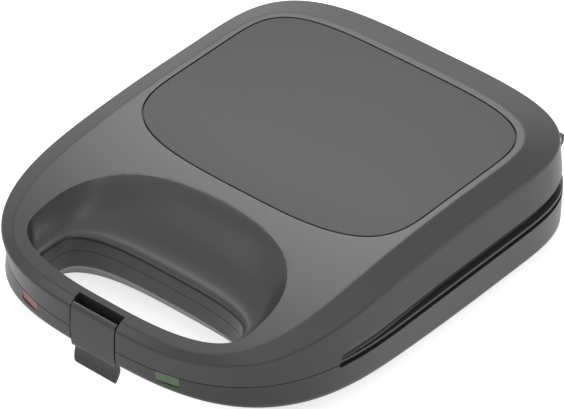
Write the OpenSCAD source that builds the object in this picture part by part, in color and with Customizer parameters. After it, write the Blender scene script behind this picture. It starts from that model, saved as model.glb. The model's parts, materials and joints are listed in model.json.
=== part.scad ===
// Two-slice sandwich toaster with a hinged lid, a loop handle and a front latch.
// Millimetres, +Z up, table at z = 0. Plans are laid out about the middle of the cooking
// plates and then shifted so that the origin is under the middle of the whole object.

/* [Housings] */
// Width over the parting line
body_w = 238; // [234:1:246]
// Reach of the housings behind the plate middle, at the parting line
rear_reach = 106.8; // [106:0.1:112]
// Reach of the handle in front of the plate middle, at the parting line
front_reach = 194.3; // [190:0.1:204]
// Height of the lid top above the table
top_z = 72; // [70:0.5:80]
// Height of the parting line between base and lid
parting_z = 33.9; // [33:0.1:35]
// Gap between the closed base and lid edges
parting_gap = 0.3; // [0.2:0.05:0.6]
// Plastic wall of both housings
wall_t = 2.5; // [2:0.1:3]
// Thickness of the lid roof, which holds the panel pocket
roof_t = 4.2; // [3.6:0.1:5]
// Thickness of the base floor
floor_t = 2.5; // [2:0.1:3.5]
// Height of the base floor underside above the table
foot_gap = 4; // [3:0.5:6]

/* [Lid shape] */
// How far the lid roof edge lies inside the parting line, at the sides
roof_side_inset = 18.3; // [16:0.1:24]
// How far the lid roof edge lies inside the parting line, at the rear
roof_rear_inset = 25.2; // [23:0.1:30]
// How far the lid roof edge lies inside the parting line, at the front
roof_front_inset = 5.5; // [5:0.1:8]
// Draft of the lid wall from the parting line to its upper edge, at the sides
wall_draft = 3.2; // [2.6:0.1:4]
// Draft of the lid wall at the front
front_draft = 0.85; // [0.6:0.05:1.4]
// Draft of the lid wall at the rear
rear_draft = 1.5; // [1:0.1:3]
// Drop from the lid roof to the wall's upper edge, across the rear chamfer
chamfer_drop = 6.15; // [5:0.05:8]
// Distance in front of the plate middle where the lid roof begins to fall
fall_start = 9.6; // [0:0.1:20]
// Radius of the falling roof, seen from the side
fall_r = 790; // [740:5:900]
// Radius of the falling upper wall edge, seen from the side
edge_fall_r = 916; // [860:1:980]

/* [Base shape] */
// Draft of the base wall from the parting line down to its lower edge, at the sides
base_draft = 2.2; // [1.6:0.1:3]
// Draft of the base wall at the front
base_front_draft = 0.3; // [0.2:0.1:0.8]
// Draft of the base wall at the rear
base_rear_draft = 3.4; // [2:0.1:4]
// Height of the base wall's lower edge at the rear
rim_z = 8.9; // [8.4:0.1:10]
// Distance in front of the plate middle where the lower wall edge begins to rise
rim_start = 0; // [0:1:12]
// Distance in front of the plate middle where the underside begins to rise
rise_start = 58; // [56:1:64]
// Radius of the rising lower wall edge, seen from the side
rim_rise_r = 1241; // [1180:1:1300]
// Radius of the rising underside, seen from the side
floor_rise_r = 516; // [512:1:560]
// Inset of the flat underside inside the parting line
floor_inset = 11; // [10:0.5:13]

/* [Side channel] */
// Depth of the channel in the lid wall, on its ledge
channel_depth = 5.2; // [4.6:0.1:6]
// Depth of the channel at its upper edge
channel_top = 1.8; // [1.4:0.1:2.4]
// Depth of the channel at its front end
channel_tip = 1.6; // [1.2:0.1:2.4]
// Height of the channel
channel_h = 8.9; // [7:0.1:9.4]
// Thickness of the lip under the channel
lip_t = 1.4; // [1.2:0.1:2]
// Height taken off the lid lip along the channel, for the finger gap
lid_relief = 1; // [0.6:0.1:1.2]
// Height taken off the base rim along the channel, for the finger gap
base_relief = 2.1; // [1.6:0.1:2.2]
// Distance in front of the plate middle where the channel begins
channel_start = 123; // [118:1:126]
// Distance in front of the plate middle where the channel has its full depth
channel_full = 40; // [30:1:50]
// Distance from the middle where the channel ends, on the rear wall
channel_end_x = 90; // [88:0.5:94]

/* [Handle] */
// Width of the scoop round the handle hole
scoop_w = 160; // [150:1:166]
// Distance of the scoop's rear edge in front of the plate middle
scoop_rear = 86; // [84:1:90]
// Distance from the front of the handle back to its inner edge
bar_d = 12.8; // [12.6:0.1:13.4]
// Width of the through hole in the handle
hole_w = 132; // [126:1:136]
// Distance of the hole's rear wall in front of the plate middle
hole_rear = 133; // [131:0.5:137]
// Height of the edge where the scoop drops into the hole
scoop_edge_z = 44.5; // [43:0.1:47]
// Height of the hole's lower edge above the table
hole_edge_z = 22.6; // [21.5:0.1:24]
// How far the hollow under the handle widens at the underside
under_scoop = 14; // [10:0.5:16]

/* [Lid panel] */
// Width of the inset panel
panel_w = 192.2; // [180:0.2:194]
// Reach of the panel in front of the plate middle
panel_front = 75.3; // [72:0.1:77]
// Reach of the panel behind the plate middle
panel_rear = 76.1; // [72:0.1:77]
// Thickness of the panel
panel_t = 1.6; // [1.2:0.1:2]
// Groove all round the panel
panel_gap = 0.6; // [0.3:0.1:0.8]

/* [Plates] */
// Clearance between plate flange and housing, at the sides
plate_gap = 4.3; // [3.8:0.1:5]
// Reach of the plate flange in front of the plate middle
plate_front = 71; // [69:0.5:74]
// Space behind the plates for hinge screws and leads
rear_bay = 19; // [18.6:0.1:20]
// Thickness of the plate flange
flange_t = 2.4; // [2:0.1:3]
// Width that the inner frames lap over the plate flange
frame_lap = 5; // [4:0.5:6]
// Thickness of the inner frames
frame_t = 2.5; // [2:0.1:3]
// Clearance between frame and raised plate face
deck_gap = 0.8; // [0.5:0.1:1.2]
// Depth of the bread pockets below the plate face
pocket_depth = 11; // [9:0.5:11.5]
// Slope of the pocket walls, as their inset from top to bottom
pocket_slope = 6; // [4:0.5:8]
// Rim of the plate face round each pocket
pocket_rim = 5.5; // [4.5:0.5:7]
// Wall of the cast plate round the pockets
cast_t = 2.5; // [2:0.1:3]
// Width of the cutting ridge at its foot
ridge_w = 15; // [12:0.5:18]

/* [Heating] */
// Diameter of the heater sheath
heater_d = 6.5; // [6:0.1:6.8]
// Distance between the two legs of the heater
heater_span = 104; // [90:1:110]
// Bend radius of the heater
heater_bend = 20; // [16:1:24]
// Thickness of the heater saddles under the sheath
clip_t = 0.8; // [0.6:0.1:1.2]
// Thickness of the reflector sheet
reflector_t = 0.6; // [0.5:0.1:1]
// Height of the reflector's turned-up rim
reflector_rim = 5; // [4:0.5:6]
// Diameter of the thermostat
thermostat_d = 16; // [14:0.5:18]

/* [Hinge] */
// Radius of the hinge knuckles
knuckle_r = 5; // [4.6:0.1:5.2]
// Distance of the hinge axis behind the rear wall
hinge_out = 5.6; // [5.5:0.1:6.5]
// Height of the hinge axis above the parting line
hinge_up = 2; // [1.5:0.1:3]
// Distance of each hinge from the middle
hinge_x = 70; // [66:1:74]
// Width of a lid knuckle
knuckle_w = 11; // [9:0.5:12]
// How far a base knuckle's root reaches in from the rear wall
ear_root = 6.5; // [6:0.1:7.5]
// Width of each base knuckle
ear_w = 6; // [5:0.5:7]
// Side play between knuckles
knuckle_gap = 0.5; // [0.3:0.1:0.8]
// Radius of the hinge pins
pin_r = 2; // [1.8:0.1:2.4]
// Running clearance of the hinge pins and the latch pin
pin_fit = 0.05; // [0.03:0.01:0.08]
// Width of each half of the hollow lead knuckle
lead_knuckle_w = 20; // [16:1:24]
// Radius of the lead sleeve through the hinge
lead_r = 1.8; // [1.5:0.1:2]
// Play of the lead sleeve in its way through the knuckles
lead_play = 1.2; // [1:0.1:1.3]

/* [Latch] */
// Place of the latch and of the middle between the lamps, along X
front_mid = -2.2; // [-3:0.1:0]
// Width of the latch clip
latch_w = 32.2; // [30:0.2:34]
// Gap beside the latch clip
latch_gap = 0.8; // [0.5:0.1:1]
// Thickness of the latch plate
latch_t = 3.2; // [2.8:0.1:3.4]
// Height of the latch pin axis above the table
latch_pin_z = 43.2; // [42:0.1:45]
// Distance of the latch pin axis behind the latch face
latch_pin_in = 4.7; // [4.6:0.05:4.8]
// Radius of the latch pin
latch_pin_r = 1.5; // [1.3:0.1:1.8]
// Radius of the latch barrel
barrel_r = 3.9; // [3.6:0.1:4]
// Depth of the latch slot in the lid, behind the parting line
slot_depth = 9.1; // [9:0.1:9.3]
// Height of the lowest point of the pull lip
lip_z = 10.5; // [10:0.1:12]
// Depth of the hollow above the pull lip
lip_hollow = 3.3; // [2.6:0.1:3.6]
// Radius of the pull lip's corners
lip_r = 5.5; // [4:0.5:7]
// Height of the keeper's underside, which the hook catches
keeper_z = 24; // [23.8:0.1:25]
// Thickness of the hook
hook_t = 2.8; // [2.4:0.1:3]
// Play between hook and keeper
hook_play = 0.4; // [0.35:0.05:0.5]
// Length of the hook behind the latch plate
hook_l = 4.1; // [3.8:0.1:4.4]
// Width of the hook
hook_w = 24; // [20:1:26]

/* [Lamps and fittings] */
// Distance of each lamp from the middle between them
lamp_x = 51.5; // [46:0.1:56]
// Width of a lamp lens
lamp_w = 15; // [12:0.5:16]
// Height of a lamp lens
lamp_h = 6; // [5:0.1:7]
// Diameter of a rubber foot
foot_d = 16; // [12:1:18]
// Depth of the seat that holds each foot
foot_seat = 1; // [0.6:0.1:1.4]
// Distance of the feet from the middle
foot_x = 84; // [76:1:90]
// Distance of the rear feet behind the plate middle
foot_rear = 78; // [70:1:82]
// Distance of the front feet in front of the plate middle
foot_front = 46; // [40:1:48]
// Bore of the mains lead gland
gland_bore_r = 3.6; // [3.2:0.1:4]
// Distance of the gland from the middle
gland_x = 40; // [34:1:44]
// Height of the gland above the table
gland_z = 19; // [18:0.5:20]
// Radius of a screw shank
screw_r = 1.7; // [1.5:0.1:1.9]
// Radius of a screw head
screw_head_r = 3.2; // [2.8:0.1:3.4]

/* [Hidden] */
$fn = 48;

// Colours, as in the photograph
c_shell = "#4a4a4c";
c_panel = "#3f4043";
c_frame = "#3c3c3e";
c_plate = "#2b2b2d";
c_steel = "#b4b6ba";
c_sheath = "#6f7275";
c_red = "#8f4640";
c_green = "#4e7a45";
c_glass = "#e8dccb";
c_rubber = "#1f1f20";
c_ceramic = "#e6e1d6";
c_sleeve = "#d8d3c6";

// Plan of the housings: the curves start on these lines, with these roundnesses
front_turn = 69.5;
rear_turn = 20.3;
part_round = [2.77, 3.68];
edge_round = [3.24, 3.72];
roof_round = [3.9, 4.05];
rim_round = [3.04, 4.17];
panel_round = [3.35, 4.15];
steps = 16;
side_steps = 2;

// Main levels and reaches
half_w = body_w / 2;
base_top = parting_z - parting_gap / 2;
lid_bottom = parting_z + parting_gap / 2;
cav_side = half_w - channel_depth - wall_t;
cav_rear = rear_reach - channel_depth - wall_t;
hinge_y = rear_reach + hinge_out;
hinge_z = parting_z + hinge_up;
rear_tip = hinge_y + knuckle_r;
shift_y = (front_reach - rear_tip) / 2;

// Plate stack, measured down from the parting line
plate_half = cav_side - plate_gap;
plate_rear = cav_rear - rear_bay;
deck_drop = 0.25;
flange_top = parting_gap / 2 + frame_t;
open_half = plate_half - frame_lap;
open_front = plate_front - frame_lap;
open_rear = plate_rear - frame_lap;
deck_half = open_half - deck_gap;
deck_front = open_front - deck_gap;
deck_rear = open_rear - deck_gap;
pocket_half_w = (deck_half - 1.5 * pocket_rim) / 2;
pocket_x = pocket_rim / 2 + pocket_half_w;
pocket_mid_y = (deck_rear - deck_front) / 2;
pocket_half_d = (deck_rear + deck_front) / 2 - pocket_rim;
tub_drop = deck_drop + pocket_depth + cast_t;
heater_drop = tub_drop + heater_d / 2;
reflector_drop = tub_drop + heater_d + clip_t + reflector_t;
corner_r = 20;
thermostat_x = 26;
thermostat_y = 30;
block_x = 14;
block_w = 30;
block_d = 13;
block_y = rear_reach - floor_inset - wall_t - block_d - 0.3;
block_z = foot_gap + floor_t;

// Frame screws, clear of the plates
boss_r = screw_head_r + 1.8;
screw_rear_y = plate_rear + boss_r + 2.5;
screw_front_y = plate_front + 17;
screw_front_x = 90;
screw_rear_x = 60;
latch_half = latch_w / 2 + latch_gap;
slot_back = front_reach - slot_depth;
latch_pin_y = front_reach - latch_pin_in;
knee_z = keeper_z - hook_play - hook_t;
latch_pin_len = latch_w + 8;
boss_top = roof_z(-screw_front_y) - 1.5;

// Middles of the scoop and of the hole under it, and the bulbs behind the lenses
bar_back = front_reach - bar_d;
scoop_mid = scoop_rear + 0.67 * (bar_back - scoop_rear);
hole_mid = (hole_rear + bar_back) / 2 + 0.75;
bulb_in = wall_t + 3.5;
bulb_z = base_top - lamp_h + 1.6;
holder_w = 7;
holder_d = 3.4;
holder_h = 6.7;

// Height of the lid roof above a point at distance y from the plate middle
function roof_z(y) = top_z - pow(max(0, -fall_start - y), 2) / (2 * fall_r);
// Height of the lid wall's upper edge
function edge_z(y) = top_z - chamfer_drop - pow(max(0, -fall_start - y), 2) / (2 * edge_fall_r);
// Height of the base wall's lower edge
function rim_height(y) = rim_z + pow(max(0, -rim_start - y), 2) / (2 * rim_rise_r);
// Height of the underside
function under_z(y) = foot_gap + pow(max(0, -rise_start - y), 2) / (2 * floor_rise_r);

// One quarter of a rounded plan, from its tip (i = 0) to its side (i = m)
function turn_point(side, reach, n, i, m) =
    let (t = 90 * i / m, r = pow(pow(sin(t), n) + pow(cos(t), n), -1 / n))
    [side * r * sin(t), reach * r * cos(t)];

// Closed plan outline from the front middle, round by the right side; round = [front, rear]
function plan(side, front, rear, round, ft = front_turn, rt = rear_turn, m = steps, k = side_steps) =
    let (
        fore = [for (i = [0:m]) let (p = turn_point(side, front - ft, round[0], i, m)) [p.x, -ft - p.y]],
        flank = [for (i = [1:k]) [side, -ft + (ft + rt) * i / (k + 1)]],
        aft = [for (i = [m:-1:0]) let (p = turn_point(side, rear - rt, round[1], i, m)) [p.x, rt + p.y]],
        right = concat(fore, flank, aft),
        n = len(right))
    concat(right, [for (i = [n - 2:-1:1]) [-right[i].x, right[i].y]]);

// Outlines of the housings, with an inset d
function part_plan(d = 0) = plan(half_w - d, front_reach - d, rear_reach - d, part_round);
function edge_plan(d = 0) =
    plan(half_w - wall_draft - d, front_reach - front_draft - d, rear_reach - rear_draft - d, edge_round);
function roof_plan(d = 0) = plan(half_w - roof_side_inset - d, front_reach - roof_front_inset - d,
    rear_reach - roof_rear_inset - d, roof_round);
function rim_plan(d = 0) = plan(half_w - base_draft - d, front_reach - base_front_draft - d,
    rear_reach - base_rear_draft - d, rim_round);
function under_plan(d = 0) =
    plan(half_w - floor_inset - d, front_reach - floor_inset + 2 - d, rear_reach - floor_inset - d, rim_round);
function panel_plan(d = 0) = plan(panel_w / 2 + d, panel_front + d, panel_rear + d, panel_round,
    front_turn - 49, rear_turn);

// Lifts a plan to a height, or to a height that follows y
function level(outline, z) = [for (p = outline) [p.x, p.y, z]];
function on_roof(outline, d = 0) = [for (p = outline) [p.x, p.y, roof_z(p.y) - d]];
function on_edge(outline, d = 0) = [for (p = outline) [p.x, p.y, edge_z(p.y) - d]];
function on_rim(outline, d = 0) = [for (p = outline) [p.x, p.y, rim_height(p.y) + d]];
function on_under(outline, d = 0) = [for (p = outline) [p.x, p.y, under_z(p.y) + d]];

// Solid through rings of equal length, lowest first; its ends are closed straight across
module loft(rings) {
    n = len(rings[0]);
    h = n / 2;
    top = (len(rings) - 1) * n;
    walls = [for (k = [0:len(rings) - 2], i = [0:n - 1], side = [0, 1])
        let (a = k * n + i, b = k * n + (i + 1) % n)
        side == 0 ? [a, a + n, b + n] : [a, b + n, b]];
    strips = [for (i = [1:h - 2]) [i, i + 1, n - i - 1, n - i]];
    ends = [[0, 1, n - 1], [h - 1, h, h + 1]];
    below = concat(ends, strips);
    above = [for (f = below) [for (i = [len(f) - 1:-1:0]) f[i] + top]];
    polyhedron(points = [for (r = rings, p = r) p], faces = concat(below, walls, above), convexity = 8);
}

// Moves the plans so that the origin is under the middle of the whole object
module placed() {
    translate([0, shift_y, 0]) children();
}

// Both sides of the object
module both_sides() {
    children();
    mirror([1, 0, 0]) children();
}

// Flat plate with round corners
module round_plate(x0, x1, y0, y1, t, r) {
    linear_extrude(t) union() {
        translate([x0 + r, y0]) square([x1 - x0 - 2 * r, y1 - y0]);
        translate([x0, y0 + r]) square([x1 - x0, y1 - y0 - 2 * r]);
        for (x = [x0 + r, x1 - r], y = [y0 + r, y1 - r]) translate([x, y]) circle(r);
    }
}

// Round bar along X, between two places
module bar_x(x0, x1, r) {
    translate([x0, 0, 0]) rotate([0, 90, 0]) cylinder(r = r, h = x1 - x0);
}

// Scoop and hole outline at a depth share t, from 0 on the roof to 1 at the hole
function scoop_ring(t, grow = 0) =
    let (mid = scoop_mid + (hole_mid - scoop_mid) * t)
    plan(scoop_w / 2 + (hole_w - scoop_w) / 2 * t + grow,
        bar_back + grow,
        -(scoop_rear + (hole_rear - scoop_rear) * t - grow),
        [2.8 + 0.4 * t, 2.2 + t],
        mid + 2, 2 - mid, steps, 1);

// Height of the scoop at a plan point: it leaves the roof softly at the rear, steeply at the sides
function scoop_z(p, t) =
    let (rearness = max(0, min(1, (p.y + 150) / 60)),
        steep = 1 - pow(1 - t, 2),
        soft = t * t * (3 - 2 * t),
        s = rearness * soft + (1 - rearness) * steep)
    roof_z(p.y) * (1 - s) + scoop_edge_z * s + 0.3 * (1 - t);

// Space cut by the scoop and the hole, down to a height
module scoop_space(z_low, grow = 0, levels = 7) {
    hole = scoop_ring(1, grow);
    scoop = [for (k = [0:levels]) let (t = 1 - k / levels) [for (p = scoop_ring(t, grow))
        [p.x, p.y, scoop_z(p, t) - grow]]];
    loft(concat([level(hole, z_low)], scoop, [level(scoop_ring(0, grow), top_z + 6)]));
}

// Space of the hole through the base, with a hollow for the fingers underneath
module hole_space(grow = 0) {
    hole = scoop_ring(1, grow);
    wide = plan(hole_w / 2 + under_scoop + grow, bar_back + 3 + grow,
        -(hole_rear - under_scoop - grow), [3.2, 3.2], hole_mid + 2, 2 - hole_mid, steps, 1);
    mid = [for (i = [0:len(hole) - 1]) (hole[i] * 2 + wide[i]) / 3];
    loft([level(wide, foot_gap - 1), level(mid, hole_edge_z - 5 + grow), level(hole, hole_edge_z + grow),
        level(hole, parting_z + 2)]);
}

// Slot for the latch in the front of the lid
module latch_slot(grow = 0) {
    translate([front_mid - latch_half - grow, -front_reach - 10, lid_bottom - 5])
        cube([2 * latch_half + 2 * grow, 10 + slot_depth + grow, 40]);
}

// Back of the side channel, as a plan: depth d behind, less depth towards its front end
function channel_plan(d, tip) =
    let (inner = plan(half_w - d, front_reach, rear_reach - d, part_round),
        n = len(inner) / 2,
        right = [for (i = [0:n]) if (inner[i].y > -channel_full) inner[i]],
        start = turn_x(channel_start) - tip)
    concat([[0, -channel_start - 4], [start, -channel_start - 1], [half_w - d, -channel_full]],
        right, [for (i = [len(right) - 2:-1:0]) [-right[i].x, right[i].y]],
        [[-(half_w - d), -channel_full], [-start, -channel_start - 1]]);

// Half width of the parting outline at a distance in front of the plate middle
function turn_x(y) =
    half_w * pow(1 - pow((y - front_turn) / (front_reach - front_turn), part_round[0]), 1 / part_round[0]);

// Side channel round the lid, open outwards, with a slanted front end; its back leans out over the ledge
module side_channel() {
    low = lid_bottom + lid_relief + lip_t;
    difference() {
        translate([-body_w, -channel_start, low]) cube([2 * body_w, channel_start + rear_reach + 20, channel_h]);
        loft([level(channel_plan(channel_depth + 0.4, channel_tip + 0.1), low - 1),
            level(channel_plan(channel_top - 0.4, channel_top - 0.5), low + channel_h + 1)]);
        translate([-channel_end_x, 0, 0]) cube([2 * channel_end_x, 2 * rear_reach, top_z]);
        translate([-body_w, -channel_start, low]) rotate([-38, 0, 0]) translate([0, -60, 0]) cube([2 * body_w, 60, 60]);
    }
}

// Strip taken off a rim along the channel
module rim_cut(z, h) {
    translate([-body_w, -channel_start, z]) cube([2 * body_w, channel_start + rear_reach + 20, h]);
}

// Lid knuckle plate, seen from the side, joined to the lid's rear wall
module knuckle_profile() {
    translate([hinge_y, hinge_z]) circle(knuckle_r);
    translate([cav_rear + 2, lid_bottom + 0.9])
        square([hinge_y - cav_rear - 2, hinge_z + knuckle_r - lid_bottom - 0.9]);
}

// Base knuckle plate, seen from the side, joined to the base's rear wall
module ear_profile() {
    root_y = rear_reach - ear_root;
    c = knuckle_r * cos(45);
    translate([hinge_y, hinge_z]) circle(knuckle_r);
    polygon([[root_y, root_y - hinge_y + hinge_z - 2 * c], [root_y, base_top - frame_t - 0.3],
        [rear_reach - 0.8, base_top - frame_t - 0.3], [rear_reach - 0.8, base_top - 0.3],
        [hinge_y, base_top - 0.3], [hinge_y + c, hinge_z - c]]);
}

// Side profile extruded along X between two places
module across(x0, x1) {
    translate([x0, 0, 0]) rotate([90, 0, 90]) linear_extrude(x1 - x0) children();
}

// Hole along X on the hinge axis
module hinge_hole(x0, x1, r) {
    translate([0, hinge_y, hinge_z]) bar_x(x0, x1, r);
}

// Places of the frame screws
module at_screws() {
    for (x = [-screw_rear_x, screw_rear_x]) translate([x, screw_rear_y, 0]) children();
    for (x = [-screw_front_x, screw_front_x]) translate([x, -screw_front_y, 0]) children();
}

// Upper housing: drafted wall, wide chamfer, roof that falls to the handle
module lid_body() {
    loft([level(part_plan(), lid_bottom), on_edge(edge_plan()), on_roof(roof_plan())]);
}

// Hollow of the lid, which leaves walls round scoop, hole, slot and channel
module lid_hollow() {
    low = plan(cav_side, front_reach - wall_t, cav_rear, edge_round);
    high = plan(half_w - roof_side_inset - wall_t, front_reach - roof_front_inset - wall_t,
        rear_reach - roof_rear_inset - wall_t, roof_round);
    difference() {
        loft([level(low, lid_bottom - 1), on_edge(low, 5), on_roof(high, roof_t)]);
        scoop_space(lid_bottom - 3, wall_t, 4);
        latch_slot(wall_t);
    }
}

// Lid moulding without its knuckles and bosses
module lid_shell() {
    difference() {
        lid_body();
        lid_hollow();
        scoop_space(lid_bottom - 3);
        latch_slot();
        side_channel();
        rim_cut(lid_bottom - 0.01, lid_relief);
        loft([on_roof(panel_plan(panel_gap), panel_t), level(panel_plan(panel_gap), top_z + 2)]);
    }
}

module lid_housing() {
    color(c_shell) placed() difference() {
        union() {
            lid_shell();
            at_screws() translate([0, 0, lid_bottom + frame_t]) cylinder(r = boss_r, h = boss_top - lid_bottom - frame_t);
            both_sides() across(hinge_x - knuckle_w / 2, hinge_x + knuckle_w / 2) knuckle_profile();
            across(knuckle_gap / 2, lead_knuckle_w) knuckle_profile();
        }
        at_screws() translate([0, 0, lid_bottom]) cylinder(r = screw_r + 0.1, h = 16);
        both_sides() hinge_hole(hinge_x - knuckle_w, hinge_x + knuckle_w, pin_r + pin_fit);
        hinge_hole(-1, lead_knuckle_w / 2 + lead_r, lead_r + lead_play);
        translate([lead_knuckle_w / 2, hinge_y, hinge_z]) rotate([90, 0, 0])
            cylinder(r = lead_r + lead_play, h = 30);
        translate([front_mid, -latch_pin_y, latch_pin_z]) bar_x(-latch_pin_len / 2 - 0.2, latch_pin_len / 2 + 0.2,
            latch_pin_r + pin_fit);
    }
}

// Lower housing: drafted wall, rounded-in foot edge, underside that rises to the handle
module base_body() {
    loft([on_under(under_plan()), on_rim(rim_plan()), level(part_plan(), base_top)]);
}

// Hollow of the base
module base_hollow() {
    difference() {
        loft([on_under(under_plan(wall_t), floor_t), on_rim(rim_plan(wall_t), 1),
            level(part_plan(wall_t), parting_z + 1)]);
        hole_space(wall_t);
        translate([front_mid - latch_half - wall_t, -front_reach - 1, 0])
            cube([2 * latch_half + 2 * wall_t, bar_d + 1, parting_z]);
    }
}

// Base moulding without its ears and bosses
module base_shell() {
    difference() {
        base_body();
        base_hollow();
        hole_space();
        rim_cut(base_top - base_relief, base_relief + 0.01);
        translate([front_mid - latch_half, -front_reach - 10, 0])
            cube([2 * latch_half, 10 + latch_t + hook_play, 60]);
        translate([front_mid - hook_w / 2 - 0.6, -front_reach - 10, -1])
            cube([hook_w + 1.2, 10 + latch_t + hook_l + 0.7, keeper_z + 1]);
        at_lamps() translate([-lamp_w / 2, -5, base_top - lamp_h]) cube([lamp_w, 10, lamp_h + 1]);
    }
}

module base_housing() {
    rib_top = parting_z - reflector_drop;
    rib_z = foot_gap + floor_t / 2;
    color(c_shell) placed() difference() {
        union() {
            base_shell();
            at_screws() translate([0, 0, rib_z]) cylinder(r = boss_r, h = base_top - frame_t - rib_z);
            for (x = [-60, 60]) translate([x - 1.5, -plate_front + 12, rib_z])
                cube([3, plate_front + plate_rear - 24, rib_top - rib_z]);
            both_sides() {
                x0 = hinge_x - knuckle_w / 2 - knuckle_gap - ear_w;
                x1 = hinge_x + knuckle_w / 2 + knuckle_gap;
                across(x0, x0 + ear_w) ear_profile();
                across(x1, x1 + ear_w) ear_profile();
            }
            across(-lead_knuckle_w, -knuckle_gap / 2) ear_profile();
            translate([gland_x, rear_reach - 0.2, gland_z]) rotate([90, 0, 0]) cylinder(r = gland_bore_r + 5, h = 4);
        }
        at_feet() translate([0, 0, -1]) cylinder(d = foot_d, h = foot_gap + foot_seat + 1);
        at_screws() {
            cylinder(r = screw_r + 0.1, h = parting_z);
            cylinder(r = screw_head_r + 0.3, h = 14);
        }
        both_sides() hinge_hole(hinge_x - knuckle_w - ear_w, hinge_x + knuckle_w + ear_w, pin_r + pin_fit / 2);
        hinge_hole(-lead_knuckle_w / 2 - lead_r, 1, lead_r + lead_play);
        translate([-lead_knuckle_w / 2, hinge_y, hinge_z]) rotate([135, 0, 0])
            cylinder(r = lead_r + lead_play, h = 24);
        translate([gland_x, rear_reach + 10, gland_z]) rotate([90, 0, 0]) cylinder(r = gland_bore_r + 2.1, h = 20);
    }
}

// Places of the lamps: each faces out of the curved front wall
module at_lamps() {
    n = part_round[0];
    b = front_reach - front_turn;
    for (side = [0, 1]) {
        x = lamp_x + (1 - 2 * side) * front_mid;
        share = pow(x / half_w, n);
        depth = b * pow(1 - share, 1 / n);
        angle = atan(b / half_w * pow(x / half_w, n - 1) * pow(1 - share, 1 / n - 1));
        mirror([side, 0, 0]) translate([x, -front_turn - depth, 0]) rotate([0, 0, angle]) children();
    }
}

// Places of the feet
module at_feet() {
    both_sides() {
        translate([foot_x, foot_rear, 0]) children();
        translate([foot_x, -foot_front, 0]) children();
    }
}

// Inner frame that covers a housing and holds its plate flange; its face is at z = 0
module inner_frame(outline) {
    difference() {
        linear_extrude(frame_t) difference() {
            polygon(outline);
            polygon(scoop_ring(1, wall_t + 0.3));
            translate([front_mid - latch_half - wall_t - 0.3, -front_reach - 1])
                square([2 * latch_half + 2 * wall_t + 0.6, 1 + max(slot_depth, bar_d - wall_t) + wall_t + 0.3]);
        }
        translate([0, 0, -1]) round_plate(-open_half, open_half, -open_front, open_rear, frame_t + 2, corner_r - 4);
        at_screws() translate([0, 0, -1]) cylinder(r = screw_r + 0.1, h = frame_t + 2);
    }
}

module base_frame() {
    color(c_frame) placed() difference() {
        translate([0, 0, base_top - frame_t]) inner_frame(part_plan(wall_t + 0.3));
        at_lamps() translate([-lamp_w / 2 - 1, -1, base_top - lamp_h]) cube([lamp_w + 2, 6, 20]);
    }
}

module lid_frame() {
    color(c_frame) placed() difference() {
        translate([0, 0, lid_bottom])
            inner_frame(plan(cav_side - 0.3, front_reach - wall_t - 0.3, cav_rear - 0.3, edge_round));
        at_screws() translate([0, 0, lid_bottom - 1]) cylinder(r = screw_head_r + 0.3, h = 1 + frame_t - 1);
        translate([lead_knuckle_w / 2 - 5, plate_rear + 8, lid_bottom - 1]) cube([13, rear_bay, frame_t + 2]);
    }
}

// Outline of one bread pocket, smaller by d
function pocket_plan(d) =
    let (p = plan(pocket_half_w - d, pocket_half_d - d, pocket_half_d - d, [5, 5],
        pocket_half_d - 22, pocket_half_d - 22, 5, 1))
    [for (q = p) [q.x + pocket_x, q.y + pocket_mid_y]];

// Ridge that cuts a slice along its diagonal; the pocket floor is its foot
module cutting_ridge() {
    angle = atan2(pocket_half_d, pocket_half_w);
    half = pocket_half_d + pocket_half_w;
    translate([pocket_x, pocket_mid_y, -deck_drop - pocket_depth]) rotate([90, 0, angle + 90])
        translate([0, 0, -half]) linear_extrude(2 * half)
            polygon([[-ridge_w / 2, -1], [ridge_w / 2, -1], [1.6, pocket_depth - 1], [-1.6, pocket_depth - 1]]);
}

// Space of one pocket above its floor
module pocket_space() {
    loft([level(pocket_plan(pocket_slope), -deck_drop - pocket_depth), level(pocket_plan(0), -deck_drop),
        level(pocket_plan(-0.5), 2)]);
}

// Cast plate with its cooking face up, at the parting line
module cooking_plate() {
    difference() {
        union() {
            translate([0, 0, -flange_top - flange_t])
                round_plate(-plate_half, plate_half, -plate_front, plate_rear, flange_t, corner_r);
            translate([0, 0, -flange_top - 0.5])
                round_plate(-deck_half, deck_half, -deck_front, deck_rear, flange_top + 0.5 - deck_drop, corner_r - 4);
            both_sides() loft([level(pocket_plan(pocket_slope - cast_t), -tub_drop),
                level(pocket_plan(-cast_t + 0.4), -flange_top - 0.2)]);
        }
        both_sides() difference() {
            pocket_space();
            cutting_ridge();
        }
    }
}

// Sheathed heater in a U under both pockets, its ends at the rear
module heater() {
    r = heater_d / 2;
    x = heater_span / 2;
    front = -plate_front + 30;
    rear = plate_rear - 12;
    translate([0, 0, -heater_drop]) {
        both_sides() {
            translate([x, front + heater_bend, 0]) rotate([-90, 0, 0]) cylinder(r = r, h = rear - front - heater_bend);
            translate([x, rear, 0]) rotate([-90, 0, 0]) cylinder(r = 1.3, h = 12);
            translate([x - heater_bend, front + heater_bend, 0]) rotate([0, 0, -90])
                rotate_extrude(angle = 90) translate([heater_bend, 0]) circle(r);
        }
        translate([0, front, 0]) bar_x(-x + heater_bend, x - heater_bend, r);
    }
}

// Saddles that hold the heater against the plate
module heater_clips() {
    r = heater_d / 2;
    h = heater_d + clip_t;
    difference() {
        for (y = [-10, 40], x = [-heater_span / 2, heater_span / 2])
            translate([x - 7, y - 4, -tub_drop - h]) cube([14, 8, h]);
        for (x = [-heater_span / 2, heater_span / 2]) {
            translate([x, -30, -heater_drop]) rotate([-90, 0, 0]) cylinder(r = r + 0.05, h = 90);
        }
    }
}

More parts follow.
